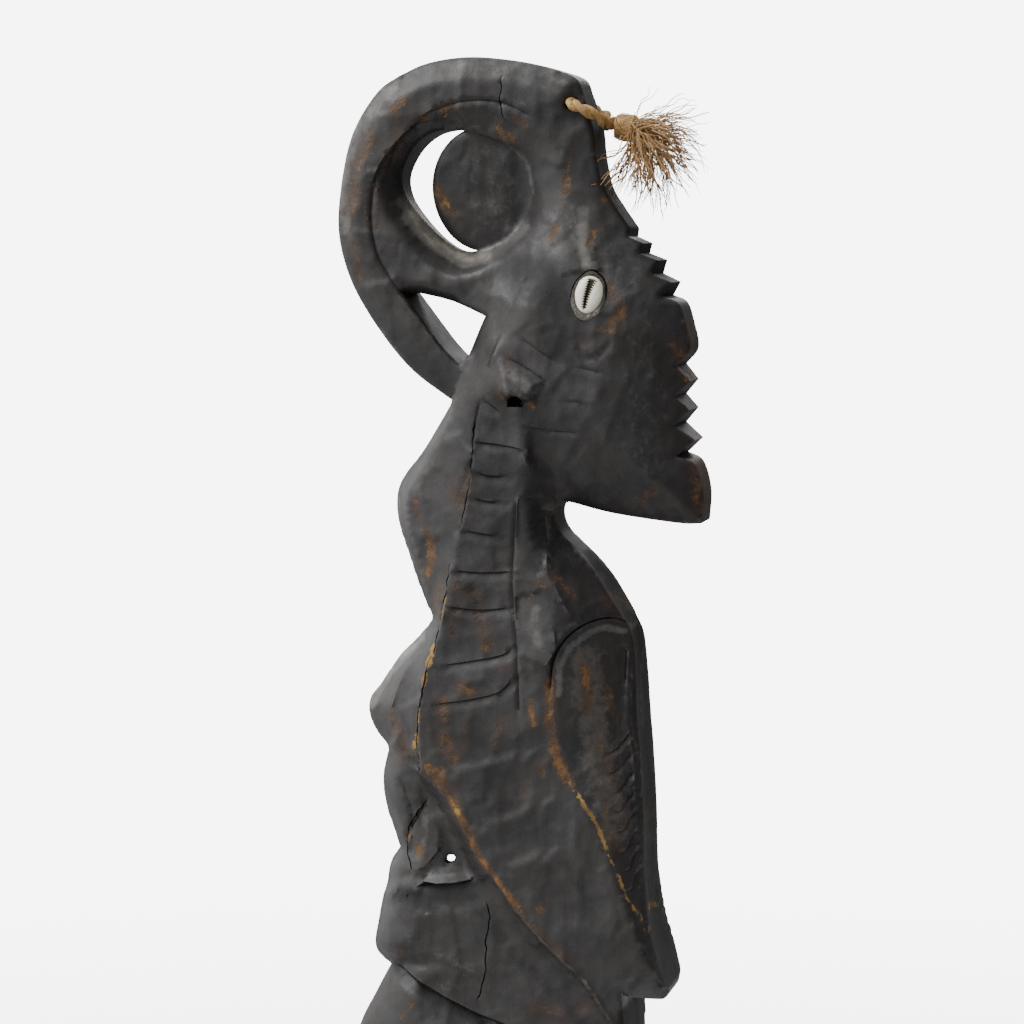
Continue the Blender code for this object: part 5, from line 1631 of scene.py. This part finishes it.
# %% Floor that fades into the surround
floor_mesh = bpy.data.meshes.new("floor")
work = bmesh.new()
bmesh.ops.create_circle(work, cap_ends=True, segments=96, radius=3.0)
work.to_mesh(floor_mesh)
work.free()
floor = bpy.data.objects.new("floor", floor_mesh)
bpy.context.scene.collection.objects.link(floor)
pale_floor, tree, shader, spot = finish("pale_floor")
shader.inputs["Base Color"].default_value = (0.42, 0.42, 0.42, 1)
shader.inputs["Roughness"].default_value = 0.9
from_middle = add(tree, "ShaderNodeVectorMath", {0: spot}, operation="LENGTH").outputs["Value"]
faded = arithmetic(tree, "SUBTRACT", 1.0, between(tree, from_middle, 0.25, 1.6))
tree.links.new(faded, shader.inputs["Alpha"])
seen = add(tree, "ShaderNodeLightPath").outputs["Is Camera Ray"]
tree.links.new(blend(tree, seen, (0, 0, 0, 1), (1, 1, 1, 1)), shader.inputs["Emission Color"])
shader.inputs["Emission Strength"].default_value = 4.5
dress(floor, pale_floor)

# %% Surround
world = bpy.data.worlds.new("surround")
bpy.context.scene.world = world
world.use_nodes = True
tree = world.node_tree
towards = add(tree, "ShaderNodeTexCoord").outputs["Generated"]
LIGHT_FROM = (-0.64, -0.20, 0.74)
DIM_SIDE, BRIGHT_SIDE, WHITE_SEEN = 0.13, 2.1, 7.0
lit_side = add(tree, "ShaderNodeVectorMath", {0: towards, 1: LIGHT_FROM}, operation="DOT_PRODUCT")
glow = add(tree, "ShaderNodeMapRange",
           {0: lit_side.outputs["Value"], 1: -0.25, 2: 0.95, 3: DIM_SIDE, 4: BRIGHT_SIDE},
           interpolation_type="SMOOTHSTEP").outputs[0]
seen = add(tree, "ShaderNodeLightPath").outputs["Is Camera Ray"]
strength = add(tree, "ShaderNodeMix", {0: seen, 2: glow, 3: WHITE_SEEN}, data_type="FLOAT").outputs[0]
background = tree.nodes["Background"]
background.inputs["Color"].default_value = (1.0, 1.0, 1.0, 1)
tree.links.new(strength, background.inputs["Strength"])


# %% Lamps
def lamp(name, place, size, power):
    """A square soft lamp that faces the head of the figure."""
    light = bpy.data.lights.new(name, "AREA")
    light.size = size
    light.energy = power
    made = bpy.data.objects.new(name, light)
    made.location = place
    aim = Vector((0, 0, 0.45)) - Vector(place)
    made.rotation_euler = aim.to_track_quat("-Z", "Y").to_euler()
    bpy.context.scene.collection.objects.link(made)
    return made


lamp("key", (-1.1, -0.8, 2.2), 1.3, 44)
lamp("fill", (-1.0, -2.3, 0.8), 1.4, 3)
lamp("back", (0.2, 1.8, 1.8), 1.2, 16)
print("lamps:", ", ".join(light.name for light in bpy.data.lights))

# %% Camera
azimuth, elevation, far = math.radians(10), math.radians(4), 2.5
target = Vector((0, 0, 0.449))
toward = Vector((math.sin(azimuth) * math.cos(elevation), -math.cos(azimuth) * math.cos(elevation),
                 math.sin(elevation)))
camera_data = bpy.data.cameras.new("camera")
camera_data.sensor_width = 36.0
camera_data.angle = 2 * math.atan(0.3072 / far)
camera = bpy.data.objects.new("camera", camera_data)
camera.location = target + far * toward
camera.rotation_euler = (-toward).to_track_quat("-Z", "Y").to_euler()
bpy.context.scene.collection.objects.link(camera)
bpy.context.scene.camera = camera
